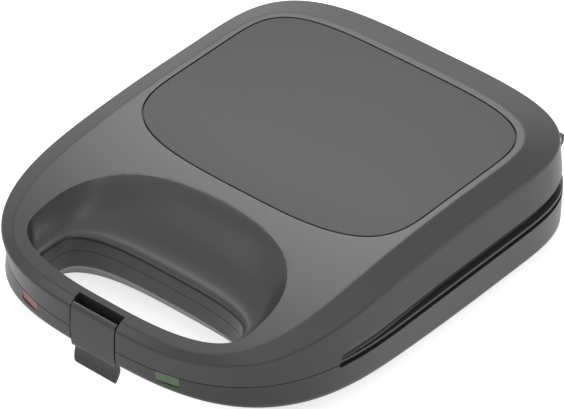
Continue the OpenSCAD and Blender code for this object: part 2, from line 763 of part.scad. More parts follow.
// Reflector tray behind the heater
module reflector() {
    s = deck_half - 4;
    f = deck_front - 4;
    b = deck_rear - 4;
    translate([0, 0, -reflector_drop]) difference() {
        round_plate(-s, s, -f, b, reflector_rim, corner_r);
        translate([0, 0, reflector_t])
            round_plate(-s + reflector_t, s - reflector_t, -f + reflector_t, b - reflector_t,
                reflector_rim, corner_r - reflector_t);
        translate([thermostat_x, thermostat_y, -1]) cylinder(d = thermostat_d + 3, h = 4);
        for (x = [-heater_span / 2, heater_span / 2])
            translate([x - 2.2, b - 2, reflector_t + 0.5]) cube([4.4, 4, reflector_rim]);
    }
}

// Turns a piece of the lower stack over into the lid
module in_lid() {
    translate([0, 0, 2 * parting_z]) mirror([0, 0, 1]) children();
}

module lower_plate() {
    color(c_plate) placed() translate([0, 0, parting_z]) cooking_plate();
}

module upper_plate() {
    color(c_plate) placed() in_lid() translate([0, 0, parting_z]) cooking_plate();
}

module lower_heater() {
    color(c_sheath) placed() translate([0, 0, parting_z]) heater();
}

module upper_heater() {
    color(c_sheath) placed() in_lid() translate([0, 0, parting_z]) heater();
}

module lower_heater_clips() {
    color(c_steel) placed() translate([0, 0, parting_z]) heater_clips();
}

module upper_heater_clips() {
    color(c_steel) placed() in_lid() translate([0, 0, parting_z]) heater_clips();
}

module lower_reflector() {
    color(c_steel) placed() translate([0, 0, parting_z]) reflector();
}

module upper_reflector() {
    color(c_steel) placed() in_lid() translate([0, 0, parting_z]) reflector();
}

// Snap-disc thermostat against the lower plate, through the reflector
module thermostat() {
    z0 = foot_gap + floor_t + 1;
    color(c_ceramic) placed() translate([thermostat_x, thermostat_y, 0]) {
        translate([0, 0, z0]) cylinder(d = thermostat_d - 3, h = 5);
        translate([0, 0, z0 + 5]) cylinder(d = thermostat_d, h = parting_z - tub_drop - z0 - 5);
        for (x = [-5, 5]) translate([x - 2, -thermostat_d / 2 - 5, z0 + 1.6]) cube([4, 10, 0.8]);
    }
}

// Thermal fuse in its sleeve, held under the lower plate by its saddle
module thermal_fuse() {
    r = 2.2;
    color(c_sleeve) placed() translate([-26, 20, parting_z - tub_drop - r]) {
        bar_x(-9, 9, r);
        bar_x(-16, 16, 0.6);
        translate([-3, -4, -r - 0.6]) cube([6, 8, 2 * r + 0.6]);
    }
}

// Terminal block on the base floor, in the bay behind the plates
module terminal_block() {
    color(c_ceramic) placed() translate([block_x, block_y, block_z]) difference() {
        cube([block_w, block_d, 11]);
        for (x = [block_w / 6, block_w / 2, block_w * 5 / 6]) {
            translate([x, block_d / 2, 4]) cylinder(r = 1.6, h = 8);
            translate([x, -1, 5]) rotate([-90, 0, 0]) cylinder(r = 1.7, h = block_d + 2);
        }
    }
}

// Lens in the front wall, its top edge at the parting line
module lamp_lens() {
    play = 0.1;
    translate([-lamp_w / 2 + play, 0.1, base_top - lamp_h + play])
        cube([lamp_w - 2 * play, wall_t - 0.1, lamp_h - play - 0.1]);
    translate([-lamp_w / 2 + 1, 1, base_top - lamp_h + play])
        cube([lamp_w - 2, wall_t + 0.4, lamp_h - frame_t - play - 0.3]);
}

module power_lens() {
    color(c_red) placed() intersection() {
        at_lamps() lamp_lens();
        translate([-body_w, -2 * front_reach, 0]) cube([body_w, 2 * front_reach, parting_z]);
    }
}

module ready_lens() {
    color(c_green) placed() intersection() {
        at_lamps() lamp_lens();
        translate([0, -2 * front_reach, 0]) cube([body_w, 2 * front_reach, parting_z]);
    }
}

// Neon bulbs behind the lenses
module lamp_bulbs() {
    color(c_glass) placed() at_lamps() translate([0, bulb_in, bulb_z]) {
        bar_x(-5, 5, 1.5);
        translate([5, 0, 0]) sphere(1.5);
    }
}

// Cradles of the bulbs, standing on the rising base floor
module lamp_holders() {
    color(c_ceramic) placed() difference() {
        at_lamps() translate([1 - holder_w, bulb_in - holder_d / 2, bulb_z - holder_h - 0.8])
            cube([holder_w, holder_d, holder_h]);
        at_lamps() translate([0, bulb_in, bulb_z]) bar_x(-9, 9, 1.55);
        base_body_floor();
    }
}

// Solid floor and walls of the base, used to cut what stands on them to fit
module base_body_floor() {
    difference() {
        base_body();
        loft([on_under(under_plan(wall_t), floor_t), on_rim(rim_plan(wall_t), 1),
            level(part_plan(wall_t), parting_z + 1)]);
    }
}

// Bush for the mains lead in the rear wall
module cord_gland() {
    color(c_rubber) placed() translate([gland_x, rear_reach + 1.1, gland_z]) rotate([90, 0, 0])
        rotate_extrude() polygon([[gland_bore_r, 0], [gland_bore_r + 3, 0], [gland_bore_r + 3.4, 0.4],
            [gland_bore_r + 3.4, 1.25], [gland_bore_r + 2, 1.25], [gland_bore_r + 2, 9], [gland_bore_r, 9]]);
}

module hinge_pins() {
    half = knuckle_w / 2 + knuckle_gap + ear_w;
    color(c_steel) placed() both_sides() hinge_hole(hinge_x - half, hinge_x + half, pin_r);
}

// Feet with a rounded lower edge
module rubber_feet() {
    r = foot_d / 2 - 0.1;
    h = foot_gap + foot_seat;
    color(c_rubber) placed() at_feet() rotate_extrude()
        polygon([[0, 0], [r - 1.5, 0], [r - 0.4, 0.5], [r, 1.5], [r, h], [0, h]]);
}

// Screws from below through the base into its frame
module base_screws() {
    color(c_steel) placed() at_screws() {
        translate([0, 0, 14 - 2.2]) cylinder(r = screw_head_r, h = 2.2);
        translate([0, 0, 14 - 0.5]) cylinder(r = screw_r, h = base_top - 14.5);
    }
}

// Screws from the parting face through the lid frame into the lid
module lid_screws() {
    head = frame_t - 1;
    color(c_steel) placed() at_screws() {
        translate([0, 0, lid_bottom + 0.1]) cylinder(r = screw_head_r, h = head - 0.1);
        translate([0, 0, lid_bottom + 0.5]) cylinder(r = screw_r, h = 13);
    }
}

module lid_panel() {
    color(c_panel) placed() loft([on_roof(panel_plan(), panel_t - 0.05), on_roof(panel_plan(), 0.1)]);
}

// Points of a smooth route through round numbers, four steps to a stretch
function route(p) = let (n = len(p) - 1) concat([for (i = [0:n - 1], s = [0:3])
    let (t = s / 4, a = p[max(0, i - 1)], b = p[i], c = p[i + 1], d = p[min(n, i + 2)])
    0.5 * (2 * b + (c - a) * t + (2 * a - 5 * b + 4 * c - d) * t * t + (3 * b - a - 3 * c + d) * t * t * t)],
    [p[n]]);

// Tube along a route; ref is a direction that the route never takes
module lead(p, r, ref = [0, 0, 1], sides = 8) {
    path = route(p);
    n = len(path) - 1;
    rings = [for (i = [0:n])
        let (d = path[min(n, i + 1)] - path[max(0, i - 1)], u = cross(d, ref) / norm(cross(d, ref)),
            v = cross(u, d) / norm(d))
        [for (j = [0:sides - 1]) path[i] + r * (cos(360 * j / sides) * u + sin(360 * j / sides) * v)]];
    walls = [for (k = [0:n - 1], j = [0:sides - 1], h = [0, 1])
        let (a = k * sides + j, b = k * sides + (j + 1) % sides)
        h == 0 ? [a, b, b + sides] : [a, b + sides, a + sides]];
    polyhedron(points = [for (q = rings, e = q) e], faces = concat(
        [[for (j = [sides - 1:-1:0]) j]], walls, [[for (j = [0:sides - 1]) n * sides + j]]));
}

// Lead in the base, from the hollow knuckle down to the terminal block
module base_leads() {
    x = -lead_knuckle_w / 2;
    color(c_sleeve) placed() lead([[-0.2, hinge_y, hinge_z], [-4, hinge_y, hinge_z],
        [x + 1, hinge_y - 1, hinge_z - 1], [x, hinge_y - 6, hinge_z - 6], [x, hinge_y - 14, hinge_z - 14],
        [-2, block_y + 8, block_z + 6], [8, block_y + block_d / 2, block_z + 5],
        [block_x - 0.4, block_y + block_d / 2, block_z + 5]],
        lead_r, [0.2, 0.1, 1]);
}

// Lead in the lid, from the hollow knuckle to the end of the upper heater
module lid_leads() {
    x = lead_knuckle_w / 2;
    z = parting_z + heater_drop;
    color(c_sleeve) placed() lead([[0.2, hinge_y, hinge_z], [4, hinge_y, hinge_z], [x - 1, hinge_y - 1, hinge_z],
        [x, hinge_y - 7, hinge_z], [x, cav_rear + 2, hinge_z + 0.2], [x + 3, plate_rear + 11, hinge_z + 7],
        [x + 16, plate_rear + 9.5, z], [heater_span / 2 - 10, plate_rear + 9, z],
        [heater_span / 2 - 1.5, plate_rear + 7, z], [heater_span / 2, plate_rear + 3.5, z],
        [heater_span / 2, plate_rear + 0.4, z]], lead_r, [0.2, 0.1, 1]);
}

module latch_pin() {
    color(c_steel) placed() translate([front_mid, -latch_pin_y, latch_pin_z])
        bar_x(-latch_pin_len / 2, latch_pin_len / 2, latch_pin_r);
}

// Clip seen from the side: barrel, plate and pull lip; its face is flush with the housings
module latch_profile() {
    crown = edge_z(-front_reach);
    low = rim_height(-front_reach);
    h = -lip_hollow;
    translate([-latch_pin_in, latch_pin_z]) circle(barrel_r);
    polygon([[-latch_t, latch_pin_z], [-latch_t - 0.9, crown - 0.4], [-latch_t - 0.7, crown + 2.2],
        [-latch_t - 0.2, crown + 2.9], [-latch_t + 0.8, crown + 2.8], [-front_draft - 0.9, crown + 1.1],
        [-front_draft, crown - 0.3], [0, parting_z], [-base_front_draft, low],
        [-0.5, low - 1.7], [-1.1, low - 3], [-2.2, low - 4.2], [h + 0.1, low - 5],
        [h, low - 5.8], [h + 0.3, lip_z + 6], [h + 1.2, lip_z + 3.7], [-0.9, lip_z + 1.9],
        [-0.1, lip_z + 0.9], [0, lip_z + 0.4], [-0.4, lip_z], [-1.7, lip_z + 0.1], [-2.6, lip_z + 1.5],
        [h - 0.7, lip_z + 3.7], [h - 1.6, lip_z + 6.1], [h - 1.8, low - 6], [h - 1.3, low - 3.8],
        [-latch_t, low - 2.4]]);
}

// Front view of the clip, with the round corners of its lip
module latch_front() {
    half = latch_w / 2;
    translate([-half, lip_z + lip_r]) square([latch_w, latch_pin_z]);
    translate([-half + lip_r, lip_z]) square([latch_w - 2 * lip_r, 2 * lip_r]);
    for (x = [-half + lip_r, half - lip_r]) translate([x, lip_z + lip_r]) circle(lip_r);
}

module latch_clip() {
    color(c_shell) placed() difference() {
        union() {
            intersection() {
                translate([front_mid, -front_reach, 0]) mirror([0, 1, 0])
                    across(-latch_w / 2, latch_w / 2) latch_profile();
                translate([front_mid, 0, 0]) rotate([90, 0, 0]) linear_extrude(front_reach + 10) latch_front();
            }
            translate([front_mid - hook_w / 2, -front_reach + latch_t - 0.5, knee_z])
                cube([hook_w, hook_l + 0.5, hook_t]);
        }
        translate([front_mid, -latch_pin_y, latch_pin_z]) bar_x(-latch_w, latch_w, latch_pin_r + pin_fit);
    }
}

base_housing();
base_frame();
lower_plate();
lower_heater();
lower_heater_clips();
lower_reflector();
thermostat();
thermal_fuse();
terminal_block();
power_lens();
ready_lens();
lamp_bulbs();
lamp_holders();
cord_gland();
hinge_pins();
rubber_feet();
base_screws();
base_leads();
lid_housing();
lid_panel();
lid_frame();
upper_plate();
upper_heater();
upper_heater_clips();
upper_reflector();
lid_screws();
lid_leads();
latch_pin();
latch_clip();
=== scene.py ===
"""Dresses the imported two-slice sandwich toaster for its studio picture.

Sizes are in millimetres and plans are laid out about the middle of the cooking plates, as in
the part's source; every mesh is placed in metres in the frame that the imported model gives.
"""

import json
import logging
import math
from dataclasses import dataclass
from enum import Enum
from typing import Callable, Sequence

import bpy
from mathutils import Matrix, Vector


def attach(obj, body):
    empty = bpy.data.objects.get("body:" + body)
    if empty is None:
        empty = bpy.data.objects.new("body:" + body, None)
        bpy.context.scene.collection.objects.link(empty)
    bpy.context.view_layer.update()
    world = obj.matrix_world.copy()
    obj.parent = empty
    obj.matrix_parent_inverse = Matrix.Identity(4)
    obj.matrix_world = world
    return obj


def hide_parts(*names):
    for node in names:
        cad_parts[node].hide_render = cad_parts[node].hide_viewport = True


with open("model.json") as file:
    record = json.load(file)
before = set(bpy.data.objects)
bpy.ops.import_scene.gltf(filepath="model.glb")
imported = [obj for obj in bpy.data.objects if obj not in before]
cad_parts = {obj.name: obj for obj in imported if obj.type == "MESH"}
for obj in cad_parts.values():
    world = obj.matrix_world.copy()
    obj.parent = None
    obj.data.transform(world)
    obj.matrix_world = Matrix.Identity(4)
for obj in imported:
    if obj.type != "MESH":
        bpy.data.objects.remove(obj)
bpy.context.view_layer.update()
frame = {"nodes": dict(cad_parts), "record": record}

LOG = logging.getLogger("toaster")
MM = 0.001
# The plans' middle lies this far behind the middle of the whole object.
SHIFT_Y = 38.45
# The latch, and the middle between the lamps, lie this far to the right.
FRONT_X = -2.2
# The picture's width and height in pixels.
PHOTO_SIZE = (564, 409)

Point2 = tuple[float, float]
Point3 = tuple[float, float, float]
Outline = list[Point2]
Ring = list[Point3]


class Cut(Enum):
    """How a carving body acts on the piece that it meets."""

    AWAY = "DIFFERENCE"
    ONTO = "UNION"
    WITHIN = "INTERSECT"


# Forms shared by both housings


@dataclass(frozen=True)
class Form:
    """The toaster's plans and heights.

    Each plan is two half superellipses, one towards the handle and one towards the hinge,
    joined by straight sides; the heights of roof and underside fall and rise towards the handle.
    """

    half_w: float = 119.0
    front: float = 194.3
    rear: float = 106.8
    top_z: float = 72.0
    parting_z: float = 33.9
    gap: float = 0.3
    front_turn: float = 69.5
    rear_turn: float = 20.3
    wall: float = 2.5
    # The roof and the crease fall towards the handle on arcs that start at fall_start.
    fall_start: float = 9.6
    fall_r: float = 790.0
    chamfer_drop: float = 6.15
    edge_fall_r: float = 916.0
    # The lower edge and the underside rise towards the handle.
    rim_low: float = 8.9
    rim_rise_r: float = 1241.0
    under_low: float = 4.0
    rise_start: float = 58.0
    under_rise_r: float = 516.0
    wall_draft: float = 3.2
    # Superellipse powers of the front and the rear half of each plan.
    parting_power: Point2 = (2.77, 3.68)
    crease_power: Point2 = (3.24, 3.72)
    roof_power: Point2 = (3.9, 4.05)
    rim_power: Point2 = (3.04, 4.17)
    panel_power: Point2 = (3.35, 4.15)
    quarter: int = 44
    flank: int = 13

    def roof_z(self, y: float) -> float:
        """Height of the lid's roof at a distance behind the plate middle."""
        return self.top_z - max(0.0, -self.fall_start - y) ** 2 / (2 * self.fall_r)

    def edge_z(self, y: float) -> float:
        """Height of the crease between the lid's wall and its chamfer."""
        fall = max(0.0, -self.fall_start - y) ** 2 / (2 * self.edge_fall_r)
        return self.top_z - self.chamfer_drop - fall

    def rim_z(self, y: float) -> float:
        """Height of the base wall's lower edge."""
        return self.rim_low + max(0.0, -y) ** 2 / (2 * self.rim_rise_r)

    def under_z(self, y: float) -> float:
        """Height of the base's underside."""
        return self.under_low + max(0.0, -self.rise_start - y) ** 2 / (2 * self.under_rise_r)

    def plan(
        self,
        side: float,
        front: float,
        rear: float,
        power: Point2,
        turns: Point2 | None = None,
        quarter: int | None = None,
        flank: int | None = None,
    ) -> Outline:
        """Lays out a closed outline from the front middle round by the right side.

        Args:
            side: half width.
            front: reach in front of the plate middle.
            rear: reach behind it.
            power: superellipse powers of the front and the rear half.
            turns: where the front and the rear curve begin.
            quarter: steps in a quarter turn.
            flank: points on a straight side.

        Returns:
            The outline's points, mirrored left and right.
        """
        front_turn, rear_turn = turns or (self.front_turn, self.rear_turn)
        quarter = quarter or self.quarter
        flank = flank or self.flank
        right: Outline = []
        for i in range(quarter + 1):
            x, y = self.turn_point(side, front - front_turn, power[0], i / quarter)
            right.append((x, -front_turn - y))
        length = front_turn + rear_turn
        right += [(side, -front_turn + length * i / (flank + 1)) for i in range(1, flank + 1)]
        for i in range(quarter, -1, -1):
            x, y = self.turn_point(side, rear - rear_turn, power[1], i / quarter)
            right.append((x, rear_turn + y))
        return right + [(-x, y) for x, y in right[-2:0:-1]]

    @staticmethod
    def turn_point(side: float, reach: float, power: float, share: float) -> Point2:
        """Finds a point on a superellipse quarter.

        Args:
            side: half width.
            reach: length from the turn to the tip.
            power: the superellipse's power.
            share: 0 at the tip and 1 at the side.

        Returns:
            The point's distance to the side and ahead of the turn.
        """
        s, c = math.sin(share * math.pi / 2), math.cos(share * math.pi / 2)
        r = (s**power + c**power) ** (-1 / power)
        return side * r * s, reach * r * c

    def parting(self, d: float = 0.0) -> Outline:
        """Outline at the parting line, smaller by d."""
        return self.plan(self.half_w - d, self.front - d, self.rear - d, self.parting_power)

    def crease(self, d: float = 0.0) -> Outline:
        """Outline of the crease at the top of the lid's wall."""
        return self.plan(
            self.half_w - self.wall_draft - d,
            self.front - 0.85 - d,
            self.rear - 1.5 - d,
            self.crease_power,
        )

    def roof(self, d: float = 0.0) -> Outline:
        """Outline of the lid's roof."""
        return self.plan(
            self.half_w - 18.3 - d, self.front - 5.5 - d, self.rear - 25.2 - d, self.roof_power
        )

    def rim(self, d: float = 0.0) -> Outline:
        """Outline of the base wall's lower edge."""
        return self.plan(
            self.half_w - 2.2 - d, self.front - 0.3 - d, self.rear - 3.4 - d, self.rim_power
        )

    def under(self, d: float = 0.0) -> Outline:
        """Outline of the base's flat underside."""
        return self.plan(
            self.half_w - 11 - d, self.front - 9 - d, self.rear - 11 - d, self.rim_power
        )

    def panel(self, d: float = 0.0) -> Outline:
        """Outline of the panel in the roof."""
        return self.plan(96.1 + d, 75.3 + d, 76.1 + d, self.panel_power, (20.5, 20.3))


FORM = Form()


def level(outline: Outline, z: float) -> Ring:
    """Lifts an outline to one height."""
    return [(x, y, z) for x, y in outline]


def draped(outline: Outline, height: Callable[[float], float], d: float = 0.0) -> Ring:
    """Lifts an outline to a height that follows y, plus d."""
    return [(x, y, height(y) + d) for x, y in outline]


def eased(stations: Sequence[Ring], radii: Sequence[float], steps: int = 5) -> list[Ring]:
    """Rounds the edges of a skin.

    Args:
        stations: the rings of the skin with sharp edges.
        radii: for each ring, how far its rounding reaches to either side; 0 keeps it sharp.
        steps: rings in each rounding, less one.

    Returns:
        The rings with each rounded one replaced by a smooth run of rings.
    """
    rings: list[Ring] = []
    for k, ring in enumerate(stations):
        if not radii[k]:
            rings.append(ring)
            continue
        before, after = stations[k - 1], stations[k + 1]
        for j in range(steps + 1):
            u = j / steps
            eased_ring: Ring = []
            for p, a, b in zip(map(Vector, ring), map(Vector, before), map(Vector, after)):
                low = p + (a - p).normalized() * min(radii[k], (a - p).length / 2)
                high = p + (b - p).normalized() * min(radii[k], (b - p).length / 2)
                eased_ring.append(tuple(low * (1 - u) ** 2 + p * 2 * u * (1 - u) + high * u**2))
            rings.append(eased_ring)
    return rings


# Work with meshes, as by hand


def deselect() -> None:
    """Leaves object mode with nothing selected."""
    if bpy.context.object and bpy.context.object.mode != "OBJECT":
        bpy.ops.object.mode_set(mode="OBJECT")
    bpy.ops.object.select_all(action="DESELECT")


def pick(piece: bpy.types.Object) -> None:
    """Selects one piece and makes it active."""
    deselect()
    piece.select_set(True)
    bpy.context.view_layer.objects.active = piece


def in_edit(piece: bpy.types.Object, *steps: Callable[[], object]) -> None:
    """Runs edit-mode operators on the whole of a piece.

    Args:
        piece: the piece to work on.
        steps: the operators, in order.
    """
    pick(piece)
    bpy.ops.object.mode_set(mode="EDIT")
    bpy.ops.mesh.select_all(action="SELECT")
    for step in steps:
        step()
    bpy.ops.object.mode_set(mode="OBJECT")


def skin(name: str, rings: Sequence[Ring], cap_steps: int = 10) -> bpy.types.Object:
    """Wraps a grid round a stack of rings and closes it across both ends.

    Args:
        name: the piece's name.
        rings: rings of equal length, each from the front middle round by the right.
        cap_steps: rows from a ring's edge to the middle line in each end.

    Returns:
        The closed piece, in metres.
    """
    shares = [1 - math.cos(i / cap_steps * math.pi / 2) for i in range(cap_steps)]
    low = [[(x * s, y, z) for x, y, z in rings[0]] for s in shares]
    high = [[(x * s, y, z) for x, y, z in rings[-1]] for s in reversed(shares)]
    rows = low + list(rings) + high
    count = len(rings[0])
    bpy.ops.mesh.primitive_grid_add(x_subdivisions=count, y_subdivisions=len(rows) - 1)
    piece = bpy.context.object
    piece.name = piece.data.name = name
    flat: list[float] = []
    for row in rows:
        for i in range(count + 1):
            x, y, z = row[i % count]
            flat += [x * MM, (y + SHIFT_Y) * MM, z * MM]
    piece.data.vertices.foreach_set("co", flat)
    piece.location = (0, 0, 0)
    piece.data.update()
    in_edit(
        piece,
        lambda: bpy.ops.mesh.remove_doubles(threshold=1e-7),
        lambda: bpy.ops.mesh.dissolve_degenerate(threshold=1e-7),
        lambda: bpy.ops.mesh.normals_make_consistent(inside=False),
    )
    return piece


def settle(piece: bpy.types.Object) -> None:
    """Puts a piece's place and turn into its mesh."""
    pick(piece)
    bpy.ops.object.transform_apply(location=True, rotation=True, scale=True)


def block(name: str, low: Point3, high: Point3, bevel: float = 0.0) -> bpy.types.Object:
    """Adds a block between two corners.

    Args:
        name: its name.
        low: its lowest corner, laid out about the plate middle.
        high: its highest corner.
        bevel: radius of its edges.

    Returns:
        The block, in metres.
    """
    size = [h - l for l, h in zip(low, high)]
    middle = [(h + l) / 2 for l, h in zip(low, high)]
    deselect()
    bpy.ops.mesh.primitive_cube_add(
        size=1, location=(middle[0] * MM, (middle[1] + SHIFT_Y) * MM, middle[2] * MM)
    )
    piece = bpy.context.object
    piece.name = piece.data.name = name
    piece.scale = [s * MM for s in size]
    settle(piece)
    if bevel:
        in_edit(piece, lambda: bpy.ops.mesh.bevel(offset=bevel * MM, segments=4, affect="EDGES"))
    return piece


def rod(
    name: str, start: Point3, end: Point3, radius: float, sides: int = 48
) -> bpy.types.Object:
    """Adds a round rod.

    Args:
        name: its name.
        start: the middle of its first end.
        end: the middle of its other end.
        radius: its radius.
        sides: its number of sides.

    Returns:
        The rod, in metres.
    """
    a, b = Vector(start), Vector(end)
    middle = (a + b) / 2 + Vector((0, SHIFT_Y, 0))
    deselect()
    bpy.ops.mesh.primitive_cone_add(
        vertices=sides,
        radius1=radius * MM,
        radius2=radius * MM,
        depth=(b - a).length * MM,
        location=middle * MM,
        rotation=(b - a).to_track_quat("Z", "Y").to_euler(),
    )
    piece = bpy.context.object
    piece.name = piece.data.name = name
    settle(piece)
    return piece


def drawn_through(name: str, profile: Outline, x0: float, x1: float) -> bpy.types.Object:
    """Extrudes a side profile sideways.

    Args:
        name: the new piece's name.
        profile: its points as (y, z).
        x0: where it begins.
        x1: where it ends.

    Returns:
        The closed piece, in metres.
    """
    deselect()
    bpy.ops.mesh.primitive_circle_add(vertices=len(profile), fill_type="NGON")
    piece = bpy.context.object
    piece.name = piece.data.name = name
    for vertex, (y, z) in zip(piece.data.vertices, profile):
        vertex.co = (x0 * MM, (y + SHIFT_Y) * MM, z * MM)
    in_edit(
        piece,
        lambda: bpy.ops.mesh.extrude_region_move(
            TRANSFORM_OT_translate={"value": ((x1 - x0) * MM, 0, 0)}
        ),
        lambda: bpy.ops.mesh.select_all(action="SELECT"),
        lambda: bpy.ops.mesh.normals_make_consistent(inside=False),
    )
    return piece


def carve(piece: bpy.types.Object, cutter: bpy.types.Object, how: Cut = Cut.AWAY) -> None:
    """Cuts a body away from a piece, or joins it on, and removes the body.

    Args:
        piece: the piece that is shaped.
        cutter: the body, used up by this.
        how: what the body does to the piece.
    """
    modifier = piece.modifiers.new("carve", "BOOLEAN")
    modifier.operation = how.value
    modifier.solver = "EXACT"
    modifier.object = cutter
    pick(piece)
    bpy.ops.object.modifier_apply(modifier=modifier.name)
    bpy.data.objects.remove(cutter)
    in_edit(piece, lambda: bpy.ops.mesh.remove_doubles(threshold=2e-6))


def smoothed(piece: bpy.types.Object, angle: float = 32.0) -> None:
    """Shades a piece smooth and lets its large faces rule the normals.

    Args:
        piece: the piece to shade.
        angle: edges sharper than this many degrees stay crisp.
    """
    pick(piece)
    bpy.ops.object.shade_smooth_by_angle(angle=math.radians(angle))
    modifier = piece.modifiers.new("normals", "WEIGHTED_NORMAL")
    modifier.keep_sharp = True
    modifier.weight = 70
    bpy.ops.object.modifier_apply(modifier=modifier.name)


# Finishes


def linear(code: str) -> tuple[float, float, float, float]:
    """Turns an sRGB hex value into a linear colour.

    Args:
        code: the value, such as #353537.

    Returns:
        Red, green, blue and alpha.
    """
    parts = [int(code[i : i + 2], 16) / 255 for i in (1, 3, 5)]
    return (*[c / 12.92 if c <= 0.04045 else ((c + 0.055) / 1.055) ** 2.4 for c in parts], 1.0)


def seen_or_mirrored(tree: bpy.types.NodeTree) -> bpy.types.NodeSocket:
    """Tells what the camera, a reflection or clear glass looks at from what only lights.

    Args:
        tree: the node tree that asks.

    Returns:
        A socket that is 1 for camera, glossy and transmission rays.
    """
    path = add_node(tree, "ShaderNodeLightPath")
    total = path.outputs["Is Camera Ray"]
    for name in ("Is Glossy Ray", "Is Transmission Ray"):
        larger = add_node(tree, "ShaderNodeMath", operation="MAXIMUM")
        tree.links.new(total, larger.inputs[0])
        tree.links.new(path.outputs[name], larger.inputs[1])
        total = larger.outputs[0]
    return total


def add_node(
    tree: bpy.types.NodeTree,
    kind: str,
    values: dict[str, object] | None = None,
    links: dict[str, bpy.types.NodeSocket] | None = None,
    **settings: object,
) -> bpy.types.Node:
    """Adds a node.

    Args:
        tree: the tree that gets it.
        kind: its type.
        values: socket values by name.
        links: incoming links by socket name.
        settings: its other settings.

    Returns:
        The new node.
    """
    node = tree.nodes.new(kind)
    for key, value in settings.items():
        setattr(node, key, value)
    for key, value in (values or {}).items():
        node.inputs[key].default_value = value
    for key, socket in (links or {}).items():
        tree.links.new(socket, node.inputs[key])
    return node


@dataclass(frozen=True)
class Finish:
    """A finish: a base colour with slow mottling, a fine surface grain and its gloss."""

    name: str
    colour: str
    shade: str
    roughness: float
    # Width of one grain of the surface, and its height in the bump.
    grain_mm: float
    grain_height: float
    ior: float = 1.5
    metallic: float = 0.0
    mottle_mm: float = 40.0
    roughness_spread: float = 0.05
    transmission: float = 0.0
    stretch: Point3 = (1.0, 1.0, 1.0)
    coat: float = 0.0

    def build(self) -> bpy.types.Material:
        """Makes the node material.

        Returns:
            The finished material.
        """
        material = bpy.data.materials.new(self.name)
        material.use_nodes = True
        tree = material.node_tree
        tree.nodes.clear()
        place = add_node(tree, "ShaderNodeTexCoord").outputs["Object"]
        run = add_node(tree, "ShaderNodeMapping", {"Scale": self.stretch}, {"Vector": place})
        slow = add_node(
            tree,
            "ShaderNodeTexNoise",
            {"Scale": 1000 / self.mottle_mm, "Detail": 3.0, "Roughness": 0.5},
            {"Vector": place},
        )
        fine = add_node(
            tree,
            "ShaderNodeTexNoise",
            {"Scale": 1000 / self.grain_mm, "Detail": 2.0, "Roughness": 0.55},
            {"Vector": run.outputs["Vector"]},
        )
        colour = add_node(
            tree,
            "ShaderNodeMix",
            links={"Factor": slow.outputs["Fac"]},
            data_type="RGBA",
        )
        colour.inputs[6].default_value = linear(self.shade)
        colour.inputs[7].default_value = linear(self.colour)
        gloss = add_node(
            tree,
            "ShaderNodeMapRange",
            {
                "To Min": self.roughness - self.roughness_spread,
                "To Max": self.roughness + self.roughness_spread,
            },
            {"Value": fine.outputs["Fac"]},
        )
        bump = add_node(
            tree,
            "ShaderNodeBump",
            {"Strength": 1.0, "Distance": self.grain_height * MM},
            {"Height": fine.outputs["Fac"]},
        )
        shader = add_node(
            tree,
            "ShaderNodeBsdfPrincipled",
            {
                "IOR": self.ior,
                "Metallic": self.metallic,
                "Transmission Weight": self.transmission,
                "Coat Weight": self.coat,
                "Coat Roughness": 0.2,
            },
            {
                "Base Color": colour.outputs[2],
                "Roughness": gloss.outputs["Result"],
                "Normal": bump.outputs["Normal"],
            },
        )
        add_node(tree, "ShaderNodeOutputMaterial", links={"Surface": shader.outputs["BSDF"]})
        return material


